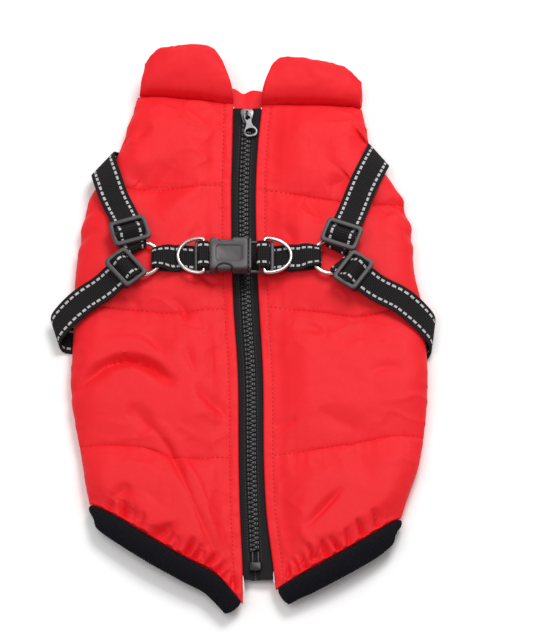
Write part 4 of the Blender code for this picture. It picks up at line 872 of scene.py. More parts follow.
def seam_relief(side, c, r, points):
    """Relief that may rise above the plain surface, and dents that only go into it."""
    x, y = points[..., 0], points[..., 1]
    rise = WRINKLE * ripple(x / 26.0, y / 21.0, side * 3.0) + CRUMPLE * ripple(x / 9.0, y / 7.0, 5.0)
    crisp = (1.0 - abs(ripple(x / 19.0 + y / 60.0, y / 14.0, side * 11.0)))**5
    rise = rise + CREASE * crisp * smooth(0.5 + 1.6 * ripple(x / 48.0, y / 40.0, side * 17.0))
    nearest = np.rint(r)
    f = across_panel(side, np.minimum(c, WIDEST), r, ROLL_OUTER)
    away = y - row_y(side, nearest, f)
    sewn = (nearest > 0) & (nearest < NECK)
    pulls = ripple(x / 4.6, nearest * 7.7, side)
    rise = rise + sewn * ROW_PUCKER * pulls * np.exp(-abs(away) / ROW_PUCKER_FADE)
    thread = 0.65 + 0.35 * np.cos(2 * math.pi * x / STITCH_PITCH)
    dent = sewn * ROW_DENT * np.exp(-(away / ROW_DENT_HALF)**2) * thread
    inward = abs(x - placket_x(side, y))
    pulls = ripple(y / 4.2, side * 9.0) * np.exp(-abs(inward - STITCH_IN) / EDGE_PUCKER_FADE)
    on_top = c < 5.0
    rise = rise + on_top * EDGE_PUCKER * pulls * smooth(inward / 2.0)
    thread = 0.7 + 0.3 * np.cos(2 * math.pi * y / STITCH_PITCH)
    dent = dent + on_top * EDGE_DENT * np.exp(-((inward - STITCH_IN) / EDGE_DENT_HALF)**2) * thread
    to_neck = np.maximum(row_y(side, NECK, f) - y, 0.0)
    return rise, dent + NECK_DENT * np.exp(-(to_neck / NECK_DENT_HALF)**2) * (c < WIDEST)


def surface_normals(points, side):
    """Normals of a grid of points, outward on either half of the coat."""
    return normalised(np.cross(np.gradient(points, axis=1), np.gradient(points, axis=0)) * side)


print("a stitch every", STITCH_PITCH, "mm")

# %% [markdown]
# A back panel is a wall, so it needs two faces. The outer one will carry all the relief. The inner
# one stays plain, because it lies on the belly panel. A fold is only as sharp as the grid is fine,
# so the points are about a millimetre apart over the top, and the rows draw together at each seam.

# %% The two faces of a back panel
# column of the CAD solid, and how many columns of the fine grid come before it
SPREAD = [(0.0, 0), (0.13, 5), (1.0, 17), (2.0, 26), (3.0, 40), (5.0, 88), (7.0, 104), (9.0, 116),
          (12.0, 127), (14.0, 132)]
BAND_ROWS, ROW_CROWDING = 82, 0.3   # rows of the grid in each band, and how far they draw together
FINE_COLUMNS = np.interp(np.arange(SPREAD[-1][1] + 1), [k for _, k in SPREAD], [c for c, _ in SPREAD])
step = np.arange(BAND_ROWS) / BAND_ROWS
step = step - ROW_CROWDING * np.sin(2 * math.pi * step) / (2 * math.pi)
FINE_ROWS = np.concatenate([k + step for k in range(int(NECK))] + [[NECK]])
CLOSED_EDGE = 0.02                  # square of the share of the thickness left at a rounded edge


def back_outer(side, c, r):
    """Outer face of a back panel in drawing mm, at columns c and rows r."""
    f = across_panel(side, np.minimum(c, WIDEST), r, ROLL_OUTER)
    y = row_y(side, r, f)
    edge = side_x(side, y)
    x = mix(placket_x(side, y), edge, f)
    turn = np.radians(np.interp(c, (9, 10, 11, 12), ROLL_ANGLES))
    into = np.where(c < 12, SIDE_ROLL_UNDER * (1 - np.cos(turn)),
                    np.interp(c, (12, 13, 14), (SIDE_ROLL_UNDER, 17.0, SIDE_SEAM)))
    below = np.maximum(SIDE_ROLL_Z * (1 - np.sin(turn)), strap_lift(edge - side * into, y))
    z = np.where(c > WIDEST, below, back_top(side, r, f, x, y))
    return np.stack((np.where(c > WIDEST, edge - side * into, x), y, z), -1)


def back_inner(side, c, r):
    """Inner face of a back panel: on the belly, and tucked in round the side."""
    f = across_panel(side, np.minimum(c, WIDEST), r, ROLL_INNER)
    tucked = np.clip(c - WIDEST, 0.0, 1.0)
    y = mix(row_y(side, r, f), row_y(side, r, 1.0), tucked)
    edge = side_x(side, row_y(side, r, 1.0))
    x_top = mix(placket_x(side, y), side_x(side, y), f)
    x_under = edge - side * np.interp(c, range(9, 15), UNDER_INNER)
    z = back_under(r, f) + PLACKET_LIFT * np.clip(2.0 - c, 0.0, 1.0)
    z = mix(mix(z, ROLL_INNER_Z, np.clip(c - 8.0, 0.0, 1.0)), BELLY_THICK, tucked)
    return np.stack((mix(x_top, x_under, tucked), y, z), -1)


def round_edge(outer, inner, depth):
    """Bring two faces together in a half round where depth goes from 0 to 1."""
    middle, half = 0.5 * (outer + inner), 0.5 * (outer - inner)
    keep = np.sqrt(np.clip(1.0 - depth**2, CLOSED_EDGE, 1.0))[..., None]
    return middle + half * keep, middle - half * keep


print("a back panel has", len(FINE_ROWS), "rows and", len(FINE_COLUMNS), "columns of points")

# %% [markdown]
# The back panels are most of what one sees of the coat. A simulated cushion would puff by itself, but
# its folds would fall anywhere. So plain padding comes first, then folds and wrinkles, flattened
# under a strap, then the dents of the seams. Last, each top is held below the straps that lie on it.

# %% Back panels
EDGE_ROUND = 0.14                   # of the first column, where the placket's folded edge is round
STRAP_FLATTENS = 0.85               # share of the relief that a strap presses out
RELIEF_FROM, RELIEF_FULL = 4.0, 4.0         # height where relief starts, and how soon it is full
HEM_PLAIN = 0.012                   # row coordinate up to which the hem's raw edge stays plain
r_grid, c_grid = np.meshgrid(FINE_ROWS, FINE_COLUMNS, indexing="ij")
backs = {}
for side in (-1, 1):
    outer, inner = back_outer(side, c_grid, r_grid), back_inner(side, c_grid, r_grid)
    x, y = outer[..., 0], outer[..., 1]
    rise, dent = seam_relief(side, c_grid, r_grid, outer)
    rise = rise + fold_height(x, y)
    for limit, weight in presses(side, x, y):
        rise = rise * (1.0 - STRAP_FLATTENS * weight)
    rise = rise * np.clip((outer[..., 2] - RELIEF_FROM) / RELIEF_FULL, 0.0, 1.0) * (c_grid < 11)
    relief = (rise - dent) * smooth(r_grid / HEM_PLAIN)
    outer = outer + surface_normals(outer, side) * relief[..., None]
    above = np.maximum(outer[..., 2] - SOFT_TOP, 0.0)
    outer[..., 2] += SOFT_SPARE * (1.0 - np.exp(-above / SOFT_SPARE)) - above
    outer, inner = round_edge(outer, inner, np.clip(1.0 - c_grid / EDGE_ROUND, 0.0, 1.0))
    name = "back_" + NAMES[side]
    wall(name + "_shell", outer, inner, NYLON, [name])
    backs[side] = outer
    print(name, outer.shape, "points a face")

# %% [markdown]
# The collar stands at the neck seam in three parts. Both back halves lean forwards from the seam,
# with a soft turned edge at the top. The throat part lies lower between them. Each is a wall from
# the last row of the panel that it is sewn to, up to a rim, so the seam fits all along.

# %% Collar rims
#                station  x      y      z of the outer face
COLLAR_RIM = {
    -1: [(0.0, -18.6, 408.0, 24.5), (0.1, -22.0, 413.0, 27.0), (0.2, -27.0, 416.2, 29.0),
         (0.4, -38.0, 418.0, 30.0), (0.6, -50.0, 416.4, 30.0), (0.8, -61.0, 415.8, 27.8),
         (0.9, -66.5, 414.0, 24.6), (1.0, -71.0, 409.0, 19.0)],
    1: [(0.0, 14.0, 404.2, 23.4), (0.1, 17.4, 408.4, 25.0), (0.2, 23.0, 410.2, 26.0),
        (0.4, 36.0, 408.4, 27.0), (0.6, 51.0, 406.4, 26.5), (0.8, 64.0, 403.2, 24.0),
        (0.9, 69.6, 400.6, 21.0), (1.0, 75.4, 396.0, 16.5)],
}
# rim at and under the side fold: y below the widest point, z outside, how far in outside and
# inside, z inside
COLLAR_FOLD = [
    (0.0, 19.0, 0.0, 6.2, 13.0), (3.0, 11.5, 2.0, 7.4, 10.2), (6.0, 5.6, 6.4, 9.6, 8.0),
    (8.5, 1.8, 11.0, 12.4, 6.6), (10.5, 0.2, 17.0, 17.4, 5.6), (12.0, 0.0, 24.0, 24.0, 5.3),
]
FOLD_LOW_Z = 5.3                    # inner face where that fold ends
RIM_IN, RIM_ON, RIM_DOWN = 1.5, 1.6, 5.2    # from the outer rim to the inner one
NEAR_FOLD = {7: (8.4, 1.0, 10.8), 8: (7.0, 0.6, 9.2)}       # inner rim by column: in, on, up
BELLY_ARCH, ARCH_POWER = (36.0, -8.0), 2.2  # bow of the belly's hem and of its neck edge


def collar_rim(side):
    """Outer and inner points of a collar half's rim, one for each of the panel's 15 columns."""
    table = COLLAR_RIM[side]
    base = back_outer(side, np.arange(float(WIDEST)), np.full(WIDEST, NECK))
    edge_y = row_y(side, NECK, 1.0)
    edge, start = side_x(side, edge_y), placket_x(side, edge_y)
    f = np.clip((base[:, 0] - start) / (edge - start), 0.0, 1.0)
    outer = np.stack([column(table, f, 0, k) for k in (1, 2, 3)], -1)
    inner = outer + np.stack((-side * RIM_IN * f, 0 * f + RIM_ON, 0 * f - RIM_DOWN), -1)
    edge_x, edge_rim_y, edge_z = table[-1][1:]
    tall = edge_z / COLLAR_FOLD[0][1]
    for k, (into, on, up) in NEAR_FOLD.items():
        inner[k] = (edge_x - side * into, edge_rim_y + on, FOLD_LOW_Z + up * tall)
    fold = [(edge_x - side * out, edge_rim_y - drop, z_out * tall)
            for drop, z_out, out, _, _ in COLLAR_FOLD]
    fold_in = [(edge_x - side * into, edge_rim_y - drop, FOLD_LOW_Z + (z_in - FOLD_LOW_Z) * tall)
               for drop, _, _, into, z_in in COLLAR_FOLD]
    return np.concatenate((outer, fold)), np.concatenate((inner, fold_in))


def belly_point(u, r):
    """Plan of the belly panel: u from -1 to 1 between the side seams, r the back's row."""
    ends = []
    for side in (-1, 1):
        y = row_y(side, r, 1.0)
        ends.append((side_x(side, y) - side * (SIDE_SEAM + GAP), y))
    x, y = (mix(ends[0][k], ends[1][k], 0.5 * (u + 1.0)) for k in (0, 1))
    return x, y + mix(*BELLY_ARCH, r / NECK) * (1.0 - abs(u) ** ARCH_POWER)


print("collar rims reach z =", [max(row[3] for row in COLLAR_RIM[side]) for side in (-1, 1)], "mm")

# %% [markdown]
# A collar half swells out between its seam and its rim, and is pinched where it is sewn on. Sines and
# noise move the points of a plain wall, whose faces then meet in a half round at the rim and beside
# the zip. Sculpting would do as well, but couldn't be changed by one number. The throat part starts
# from the belly panel's neck edge, ends at both side folds, and dips a little near its middle.

# %% Collar halves and throat
COLLAR_ROWS, COLLAR_CROWDING = 46, 0.35     # rows, and how far they draw together at seam and rim
COLLAR_ROUND = 0.9                  # share of its height from which the rim is turned over
COLLAR_EDGE_ROUND = 0.28            # of the first column, where the edge beside the zip is round
COLLAR_GAP = 1.7 * GAP              # from the panel that it is sewn to
COLLAR_PUFF, INNER_PUFF = 5.6, -0.3         # swelling outside, and the inner face's share of it
COLLAR_BOW, COLLAR_WAVE = 1.8, 0.9          # bow towards the zip, and waves along the rim
COLLAR_WRINKLE, COLLAR_CRUMPLE, COLLAR_PINCH = 0.7, 0.25, 0.6
t_line = np.linspace(0.0, 1.0, COLLAR_ROWS)
t_line = t_line - COLLAR_CROWDING * np.sin(2 * math.pi * t_line) / (2 * math.pi)
t_grid, c_wide = np.meshgrid(t_line, FINE_COLUMNS, indexing="ij")
for side in (-1, 1):
    rims = collar_rim(side)
    faces = []
    on_top = np.clip(WIDEST - c_wide, 0.0, 1.0)
    for rim, base, share in ((rims[0], back_outer, 1.0), (rims[1], back_inner, INNER_PUFF)):
        start = base(side, c_wide, np.full_like(c_wide, NECK)) + (0.0, COLLAR_GAP, 0.0)
        end = np.stack([curve(range(15), rim[:, k], c_wide) for k in range(3)], -1)
        face = mix(start, end, t_grid[..., None])
        face[..., 2] += share * COLLAR_PUFF * np.sin(math.pi * t_grid**0.54) * on_top
        beside_zip = np.clip(1.4 - c_wide, 0.0, 1.0)
        face[..., 0] -= side * COLLAR_BOW * np.sin(math.pi * t_grid**0.8) * beside_zip
        face[..., 1] += COLLAR_WAVE * ripple(c_wide * 1.7, side * 5.0) * t_grid**2 * on_top
        faces.append(face)
    outer, inner = faces
    x = outer[..., 0]
    relief = (COLLAR_WRINKLE * ripple(x / 17.0, t_grid * 2.0, side * 2.0)
              + COLLAR_CRUMPLE * ripple(x / 6.0, t_grid * 5.0, 8.0))
    pinch = ripple(x / 4.0, side * 4.0) * np.exp(-t_grid / 0.16)
    relief = (relief * smooth(t_grid / 0.1) + COLLAR_PINCH * pinch
              - NECK_DENT * np.exp(-(t_grid / 0.045)**2))
    outer = outer + surface_normals(outer, side) * (relief * (c_wide < 11))[..., None]
    rim_depth = np.clip((t_grid - COLLAR_ROUND) / (1.0 - COLLAR_ROUND), 0.0, 1.0)
    zip_depth = np.clip(1.0 - c_wide / COLLAR_EDGE_ROUND, 0.0, 1.0)
    outer, inner = round_edge(outer, inner, np.maximum(rim_depth, zip_depth))
    name = "collar_" + NAMES[side]
    wall(name + "_shell", outer, inner, NYLON, [name])
    print(name, outer.shape, "points a face")

THROAT_ROWS, THROAT_COLUMNS = 26, 90
THROAT_STAND, THROAT_CLEAR = 20.0, 0.4      # how far it stands out, and its gap to both side folds
THROAT_PUFF, THROAT_LIFT = 1.4, 0.4         # its rim above the belly's top, and above the ground
DIP_X, DIP_HALF, DIP_BACK, DIP_DOWN = -4.7, 4.0, 3.2, 1.6
t_grid, u_grid = np.meshgrid(np.linspace(0.0, 1.0, THROAT_ROWS), np.linspace(-1.0, 1.0, THROAT_COLUMNS),
                             indexing="ij")
rim_ends = {side: collar_rim(side)[0][-1] for side in (-1, 1)}
x, y = belly_point(u_grid, np.full_like(u_grid, NECK))
rim_x = np.where(u_grid < 0, rim_ends[-1][0] + THROAT_CLEAR, rim_ends[1][0] - THROAT_CLEAR) * abs(u_grid)
fold_y = np.where(u_grid < 0, rim_ends[-1][1], rim_ends[1][1])
rim_y = mix(y + THROAT_STAND, fold_y, smooth(abs(u_grid)))
x, y = mix(x, rim_x, t_grid), mix(y + GAP, rim_y, t_grid)
dip = np.exp(-((x - DIP_X) / DIP_HALF)**2)
y = y - DIP_BACK * dip * t_grid
soft = COLLAR_WRINKLE * ripple(x / 9.0, y / 9.0, 2.0) - DIP_DOWN * dip
high = np.stack((x, y, BELLY_THICK + (THROAT_PUFF + soft) * t_grid * (1 - abs(u_grid))), -1)
low = np.stack((x, y, THROAT_LIFT * t_grid), -1)
high, low = round_edge(high, low, np.clip((t_grid - 0.8) / 0.2, 0.0, 1.0))
wall("collar_throat_shell", high, low, NYLON, ["collar_throat"])
print("collar_throat", high.shape, "points a face")

# %% [markdown]
# The belly panel carries the coat. Underneath it is pressed flat on the ground, except for shallow
# valleys along its three quilting rows and where a strap passes below. Its two leg holes are cut
# by leaving out cells of the grid before it is extruded, so each hole has a wall of its own.

# %% Belly panel with its leg holes
LEG_HOLE, LEG_HOLE_X, LEG_HOLE_Y = (24.0, 33.0), 48.0, 268.0        # half sizes, and its middle
BELLY_ROWS, BELLY_COLUMNS = 121, 111
BELLY_BAND = 75.0                   # from row to row, in mm
VALLEY, VALLEY_DRIFT, VALLEY_HALF = 0.9, 0.3, 2.2
r_wide, u_wide = np.meshgrid(np.linspace(0.0, NECK, BELLY_ROWS), np.linspace(-1.0, 1.0, BELLY_COLUMNS),
                             indexing="ij")
x, y = belly_point(u_wide, r_wide)
gone = False
for side in (-1, 1):
    inside, x, y = open_hole(x, y, (side * LEG_HOLE_X, LEG_HOLE_Y), LEG_HOLE)
    gone = gone | inside
to_row = (r_wide - np.clip(np.rint(r_wide), 1, 3)) * BELLY_BAND
valley = (VALLEY + VALLEY_DRIFT * ripple(x / 4.0, 3.0)) * np.exp(-(to_row / VALLEY_HALF)**2)
high = np.stack((x, y, np.full_like(x, BELLY_THICK)), -1)
low = np.stack((x, y, strap_lift(x, y) + valley), -1)
wall("belly_shell", high, low, NYLON, ["belly_panel"], gone=gone)
print("belly panel with", int(gone.sum()), "cells left out for the leg holes")

# %% [markdown]
# The bindings are strips of rib knit folded over the raw edges. Stretched round a thick edge, such a
# strip looks like a plump roll with fine ribs across it. So each binding is a tube with an oval
# section whose size swells at every rib, swept along the edge and drawn in at its ends.

# %% Rib-knit bindings
RIB_PITCH, RIB_DEPTH, RIB_STEPS = 1.7, 0.17, 6
BIND_HALF, BIND_SIDES = 6.8, 22                 # half its width, and points round it
BIND_BULGE, BIND_NARROWS = 1.3, 0.42            # wider on the top, narrower towards the side
END_LENGTH, END_LEFT = 2.2, 0.03                # where it closes, and square of the share left
LEG_BIND_IN, LEG_BIND_Z, LEG_BIND_HALVES = 2.3, 2.7, (1.85, 2.1)
BELLY_BIND_Z, BELLY_BIND_OUT, BELLY_BIND_HALVES = 2.95, 0.4, (BIND_HALF - 0.2, 2.7)
# how much thicker it is than the edge that it covers, column by column
BIND_SPARE = (1.1, 1.1, 1.1, 1.1, 1.1, 0.9, 0.5, 0.3, 0.2, 0.15, 0.15, 0.15, 0.15, 0.15, 0.15)


def ribbed(name, centres, outwards, normals, wide, thick, closed=False):
    """An oval roll along centres, with ribs across it; wide and thick are its half sizes."""
    if closed:
        centres, outwards, normals = (np.concatenate((a, a[:1])) for a in (centres, outwards, normals))
    marks = spacing(centres)
    count = int(round(marks[-1] / RIB_PITCH)) * RIB_STEPS
    even = np.linspace(0.0, marks[-1], count + 1)[:count if closed else None]
    table = np.concatenate((centres, outwards, normals, wide + 0 * marks[:, None],
                            thick + 0 * marks[:, None]), axis=1)
    table = np.stack([np.interp(even, marks, table[:, k]) for k in range(table.shape[1])], -1)
    out, up = normalised(table[:, 3:6]), normalised(table[:, 6:9])
    swell = RIB_DEPTH * np.cos(2 * math.pi * even / (marks[-1] / (count / RIB_STEPS)))
    if not closed:
        to_end = np.minimum(even, marks[-1] - even) / END_LENGTH
        drawn = np.sqrt(np.clip(1.0 - np.clip(1.0 - to_end, 0.0, 1.0)**2, END_LEFT, 1.0))
    else:
        drawn = np.ones_like(even)
    turn = 2 * math.pi * (np.arange(BIND_SIDES) + 0.5) / BIND_SIDES
    sizes = [(table[:, k] + swell) * drawn for k in (9, 10)]
    rings = (table[:, None, :3] + out[:, None] * (sizes[0][:, None] * np.cos(turn))[..., None]
             + up[:, None] * (sizes[1][:, None] * np.sin(turn))[..., None])
    builder = new_builder()
    add_roll(builder, rings, closed)
    make_piece(builder, name + "_rib", KNIT, [name], crease=70)
    print(name, round(marks[-1]), "mm along,", count // RIB_STEPS, "ribs")


stations = np.arange(15.0)
fine = np.linspace(0.0, 14.0, 700)
for side in (-1, 1):
    over, under = back_outer(side, stations, 0 * stations), back_inner(side, stations, 0 * stations)
    middles = 0.5 * (over + under)
    along = normalised(np.concatenate((middles[1:], middles[-1:]))
                       - np.concatenate((middles[:1], middles[:-1])))
    thick = over - under
    thick[:5, :2] = 0.0
    out = normalised(np.cross(along, thick) * side)
    to_side = np.array((0.55, 0.8, 0.95) + 5 * (1.0,))[:, None]
    out[7:] = normalised(mix(out[6], np.array((0.0, -1.0, 0.0)), to_side))
    half = 0.5 * np.linalg.norm(thick, axis=1) + BIND_SPARE
    wide = BIND_HALF + BIND_BULGE * np.sin(math.pi * np.minimum(stations, 8) / 8)
    wide = wide * (1.0 - BIND_NARROWS * smooth((stations - 4.8) / 4.0))
    centre = middles + out * (wide + GAP)[:, None]
    centre[11:, 2] = np.maximum(centre[11:, 2], half[11:] + 0.05)
    table = np.concatenate((centre, out, normalised(thick), wide[:, None], half[:, None]), axis=1)
    table = np.stack([curve(stations, table[:, k], fine) for k in range(11)], -1)
    ribbed("hem_binding_" + NAMES[side], table[:, :3], table[:, 3:6], table[:, 6:9],
           table[:, 9:10], table[:, 10:])
    turn = np.linspace(0.0, 2 * math.pi, 300, endpoint=False)
    ways = np.stack((np.cos(turn), np.sin(turn), 0 * turn), -1)
    centre = (ways * (LEG_HOLE[0] - LEG_BIND_IN, LEG_HOLE[1] - LEG_BIND_IN, 0.0)
              + (side * LEG_HOLE_X, LEG_HOLE_Y, LEG_BIND_Z))
    ribbed("leg_binding_" + NAMES[side], centre, ways, ways * 0 + UP, *LEG_BIND_HALVES, closed=True)

u = 0.985 * np.linspace(-1.0, 1.0, 300)
x, y = belly_point(u, 0 * u)
along = normalised(np.stack((np.gradient(x), np.gradient(y), 0 * x), -1))
out = np.stack((along[:, 1], -along[:, 0], 0 * x), -1)
centre = np.stack((x, y, 0 * x + BELLY_BIND_Z), -1) + out * (BIND_HALF + GAP + BELLY_BIND_OUT)
ribbed("belly_binding", centre, out, out * 0 + UP, *BELLY_BIND_HALVES)

# %% [markdown]
# Stitches are hundreds of tiny loops of thread. One small capsule is made once, and a copy is set
# into the cloth at every stitch of the quilting rows and both topstitch lines, lying along the
# seam. A shared scatter function does it, and the zip's teeth use it later.


# %% Stitches
def scatter(template, spots, ways, normals, name, material, replaces=()):
    """Copies of one small shape (mm) at spots, its x along ways and its z along normals."""
    shape = bpy.data.meshes.new(name + "_one")
    template.to_mesh(shape)
    template.free()
    builder = new_builder()
    for _ in spots:
        builder.from_mesh(shape)
    made = make_piece(builder, name, material, replaces)
    corners = np.array([v.co[:] for v in shape.vertices])
    bpy.data.meshes.remove(shape)
    ways = normalised(ways)
    beside = normalised(np.cross(normals, ways))
    axes = np.stack((ways, beside, np.cross(ways, beside)), 1)
    there = np.einsum("vk,nkj->nvj", corners, axes) + spots[:, None]
    made.data.vertices.foreach_set("co", place(there).ravel())
    made.data.update()
    return made


def on_back(side, r, c):
    """Points of a finished back panel at rows r and columns c, and its normals there."""
    grid = backs[side]
    i = np.interp(r, FINE_ROWS, np.arange(len(FINE_ROWS)))
    j = np.interp(c, FINE_COLUMNS, np.arange(len(FINE_COLUMNS)))
    i0, j0 = (np.minimum(a.astype(int), n - 2) for a, n in zip((i, j), grid.shape))
    u, v = (i - i0)[:, None], (j - j0)[:, None]
    return [mix(mix(g[i0, j0], g[i0, j0 + 1], v), mix(g[i0 + 1, j0], g[i0 + 1, j0 + 1], v), u)
            for g in (grid, surface_normals(grid, side))]


def stitched(side, r, c):
    """Stitch places, directions and normals along a line of rows and columns of a back panel."""
    points, normals = on_back(side, r, c)
    marks = spacing(points)
    even = np.arange(0.5 * STITCH_PITCH, marks[-1], STITCH_PITCH)
    read = [np.stack([np.interp(even, marks, a[:, k]) for k in range(3)], -1)
            for a in (points, np.gradient(points, axis=0), normals)]
    return read[0] + read[2] * 0.08, read[1], read[2]


lines = []
for side in (-1, 1):
    c = np.linspace(STITCH_IN / PLACKET_WIDTH, 13.8, 2500)
    lines += [stitched(side, np.full_like(c, row), c) for row in (1.0, 2.0, 3.0)]
    r = np.linspace(0.02, 3.985, 2500)
    lines.append(stitched(side, r, np.full_like(r, STITCH_IN / PLACKET_WIDTH)))
spots, ways, normals = (np.concatenate([line[k] for line in lines]) for k in range(3))
capsule = bmesh.new()
bmesh.ops.create_uvsphere(capsule, u_segments=6, v_segments=5, radius=1.0,
                          matrix=Matrix.Diagonal((1.0, 0.25, 0.2, 1.0)))
scatter(capsule, spots, ways, normals, "stitches", THREAD)
print(len(spots), "stitches")

# %% [markdown]
# The zip's tapes are woven strips, one on each side, sewn in under the folded edges. Each is a thin
# wall whose inner edge steps down under the teeth, and a row of thread runs along it beside them. The
# zip hangs lower towards the hem, as the folded edges over it do.

# %% Zip tapes and their seams
TAPE_Z, TAPE_INNER, TAPE_HALF, CHAIN_HALF = (7.5, 8.3), 0.15, 14.0, 3.1
TAPE_Y, SLIDER_Y, CHAIN_Y = (23.5, 379.5), (367.3, 378.3), (45.0, 366.6)
TAPE_STEP, TAPE_STEP_OUT = 1.0, 2.6         # how far it steps down, and where
TAPE_SEAM_Y, TAPE_SEAM_OUT, TAPE_STITCH = (38.0, 365.0), 4.4, 2.3


def zip_drop(y):
    """How far the zip lies lower towards the hanging hem, as the plackets do."""
    start, end = ROWS[1][0][0], ROWS[1][1][0]
    return (BACK_UNDER - HEM_UNDER[0]) * (1.0 - smooth((y - start) / (end - start)))


y_grid, v_grid = np.meshgrid(np.linspace(*TAPE_Y, 170), np.linspace(0.0, 1.0, 22), indexing="ij")
for side in (-1, 1):
    inner_edge = mix(TAPE_INNER, CHAIN_HALF + GAP, smooth((y_grid - SLIDER_Y[0] + 2.0) / 3.0))
    out = mix(inner_edge, TAPE_HALF, v_grid)
    x = chain_x(y_grid) + side * out
    down = zip_drop(y_grid) + TAPE_STEP * (1.0 - smooth((out - TAPE_STEP_OUT) / 1.0))
    wave = 0.12 * ripple(y_grid / 6.0, v_grid, side) * smooth((out - 4.0) / 3.0)
    high, low = (np.stack((x, y_grid, z - down + wave), -1) for z in reversed(TAPE_Z))
    name = "zip_tape_" + NAMES[side]
    tape = wall(name + "_cloth", high, low, TAPE, [name])
y = np.arange(*TAPE_SEAM_Y, TAPE_STITCH)
z = TAPE_Z[1] - zip_drop(y) + 0.05
spots = np.concatenate([np.stack((chain_x(y) + side * TAPE_SEAM_OUT, y, z), -1) for side in (-1, 1)])
capsule = bmesh.new()
bmesh.ops.create_uvsphere(capsule, u_segments=6, v_segments=4, radius=1.0,
                          matrix=Matrix.Diagonal((0.8, 0.22, 0.16, 1.0)))
scatter(capsule, spots, spots * 0 + (0, 1, 0), spots * 0 + UP, "tape_stitches", TAPE_THREAD)
print("two tapes and", len(spots), "stitches on them")

# %% [markdown]
# A moulded tooth has a foot that grips its tape's edge and a tapering head that reaches past the
# middle, so the gap between both sides runs in a zigzag. One tooth is made of a three-sided prism and
# a block, is bevelled for its small highlights, and is copied all the way up. A bump map on a flat
# strip would show no gap between the teeth.

# %% Zip teeth
TOOTH_PITCH, TOOTH_Z, TOOTH_TALL, TOOTH_BEVEL = 3.49, 8.25, 2.2, 0.24
TIP, SHOULDER, FOOT = -1.35, 1.9, 3.05      # mm out from the middle
tooth = bmesh.new()
bmesh.ops.create_cone(tooth, cap_ends=True, segments=3, radius1=1.0, radius2=1.0, depth=TOOTH_TALL,
                      matrix=Matrix.Translation((mix(TIP, SHOULDER, 2 / 3), 0.0, 0.0))
                      @ Matrix.Diagonal(((SHOULDER - TIP) / 1.5, 1.73, 1.0, 1.0))
                      @ Matrix.Rotation(math.radians(90.0), 4, "Z"))
bmesh.ops.create_cube(tooth, size=1.0,
                      matrix=Matrix.Translation((0.5 * (SHOULDER + FOOT), 0.0, -0.1))
                      @ Matrix.Diagonal((FOOT - SHOULDER + 0.2, 3.0, 2.0, 1.0)))
rims = [e for e in tooth.edges if len(e.link_faces) == 2 and e.calc_face_angle(0.0) > 1.2]
bmesh.ops.bevel(tooth, geom=rims, offset=TOOTH_BEVEL, affect="EDGES", segments=2, profile=0.5,
                material=-1)
sides = []
for side in (-1, 1):
    y = np.arange(CHAIN_Y[0] + (0.5 * TOOTH_PITCH if side > 0 else 0.0), CHAIN_Y[1], TOOTH_PITCH)
    spot = np.stack((chain_x(y), y, 0 * y + TOOTH_Z - zip_drop(y)), -1)
    sides.append((spot, np.stack((side + 0 * y, 0 * y, 0 * y), -1), spot * 0 + UP))
spots, ways, normals = (np.concatenate([s[k] for s in sides]) for k in range(3))
scatter(tooth, spots, ways, normals, "zip_teeth", TEETH, ["zip_chain"])
print(len(spots), "teeth")

# %% [markdown]
# Small castings and mouldings are slabs: one rounded outline, stacked through several heights with
# the top and bottom rims drawn in, so every edge catches a line of light. An open frame is the same
# idea turned round: outlines swept about the frame's own section.


# %% Slabs and frames
def rounded(box, corner, count=96):
    """Points evenly spaced round a rectangle (x0, x1, y0, y1) with rounded corners."""
    middle = (0.5 * (box[0] + box[1]), 0.5 * (box[2] + box[3]))
    half = (0.5 * (box[1] - box[0]) - corner, 0.5 * (box[3] - box[2]) - corner)
    dense = []
    for k, (sx, sy) in enumerate(((1, 1), (-1, 1), (-1, -1), (1, -1))):
        turn = np.radians(90.0 * k + np.linspace(0.0, 90.0, 12))
        dense.append(np.stack((middle[0] + sx * half[0] + corner * np.cos(turn),
                               middle[1] + sy * half[1] + corner * np.sin(turn)), -1))
    dense = np.concatenate(dense + [dense[0][:1]])
    marks = spacing(dense)
    even = np.linspace(0.0, marks[-1], count, endpoint=False)
    return np.stack([np.interp(even, marks, dense[:, k]) for k in (0, 1)], -1)


def drawn_in(outline, inset):
    """An outline drawn in towards its middle by an inset, all round."""
    low, high = outline.min(axis=0), outline.max(axis=0)
    middle, half = 0.5 * (low + high), 0.5 * (high - low)
    return middle + (outline - middle) * (half - inset) / half


def slab(outline, low, high, edge, steps=4):
    """Rings of a slab between two heights, its top and bottom rims rounded by edge."""
    turn = np.linspace(0.0, 0.5 * math.pi, steps + 1)
    insets, rises = edge * (1 - np.sin(turn)), edge * (1 - np.cos(turn))
    levels = list(zip(insets, low + rises)) + list(zip(insets[::-1], high - rises[::-1]))
    return np.stack([np.column_stack((drawn_in(outline, inset), np.full(len(outline), z)))
                     for inset, z in levels])


def open_frame(outer, inner, low, high, sides=16, power=0.5):
    """Rings of a frame: two outlines, joined by a rounded section between two heights."""
    turn = 2 * math.pi * (np.arange(sides) + 0.5) / sides
    out, up = (np.sign(a) * abs(a)**power for a in (np.cos(turn), np.sin(turn)))
    return np.stack([np.column_stack((mix(inner, outer, 0.5 + 0.5 * o),
                                      np.full(len(outer), mix(low, high, 0.5 + 0.5 * u))))
                     for o, u in zip(out, up)])


def moved(points, matrix):
    """Points (mm) through a 4x4 matrix."""
    turn = np.array(matrix)
    return points @ turn[:3, :3].T + turn[:3, 3]


print("slab() and open_frame() are ready")
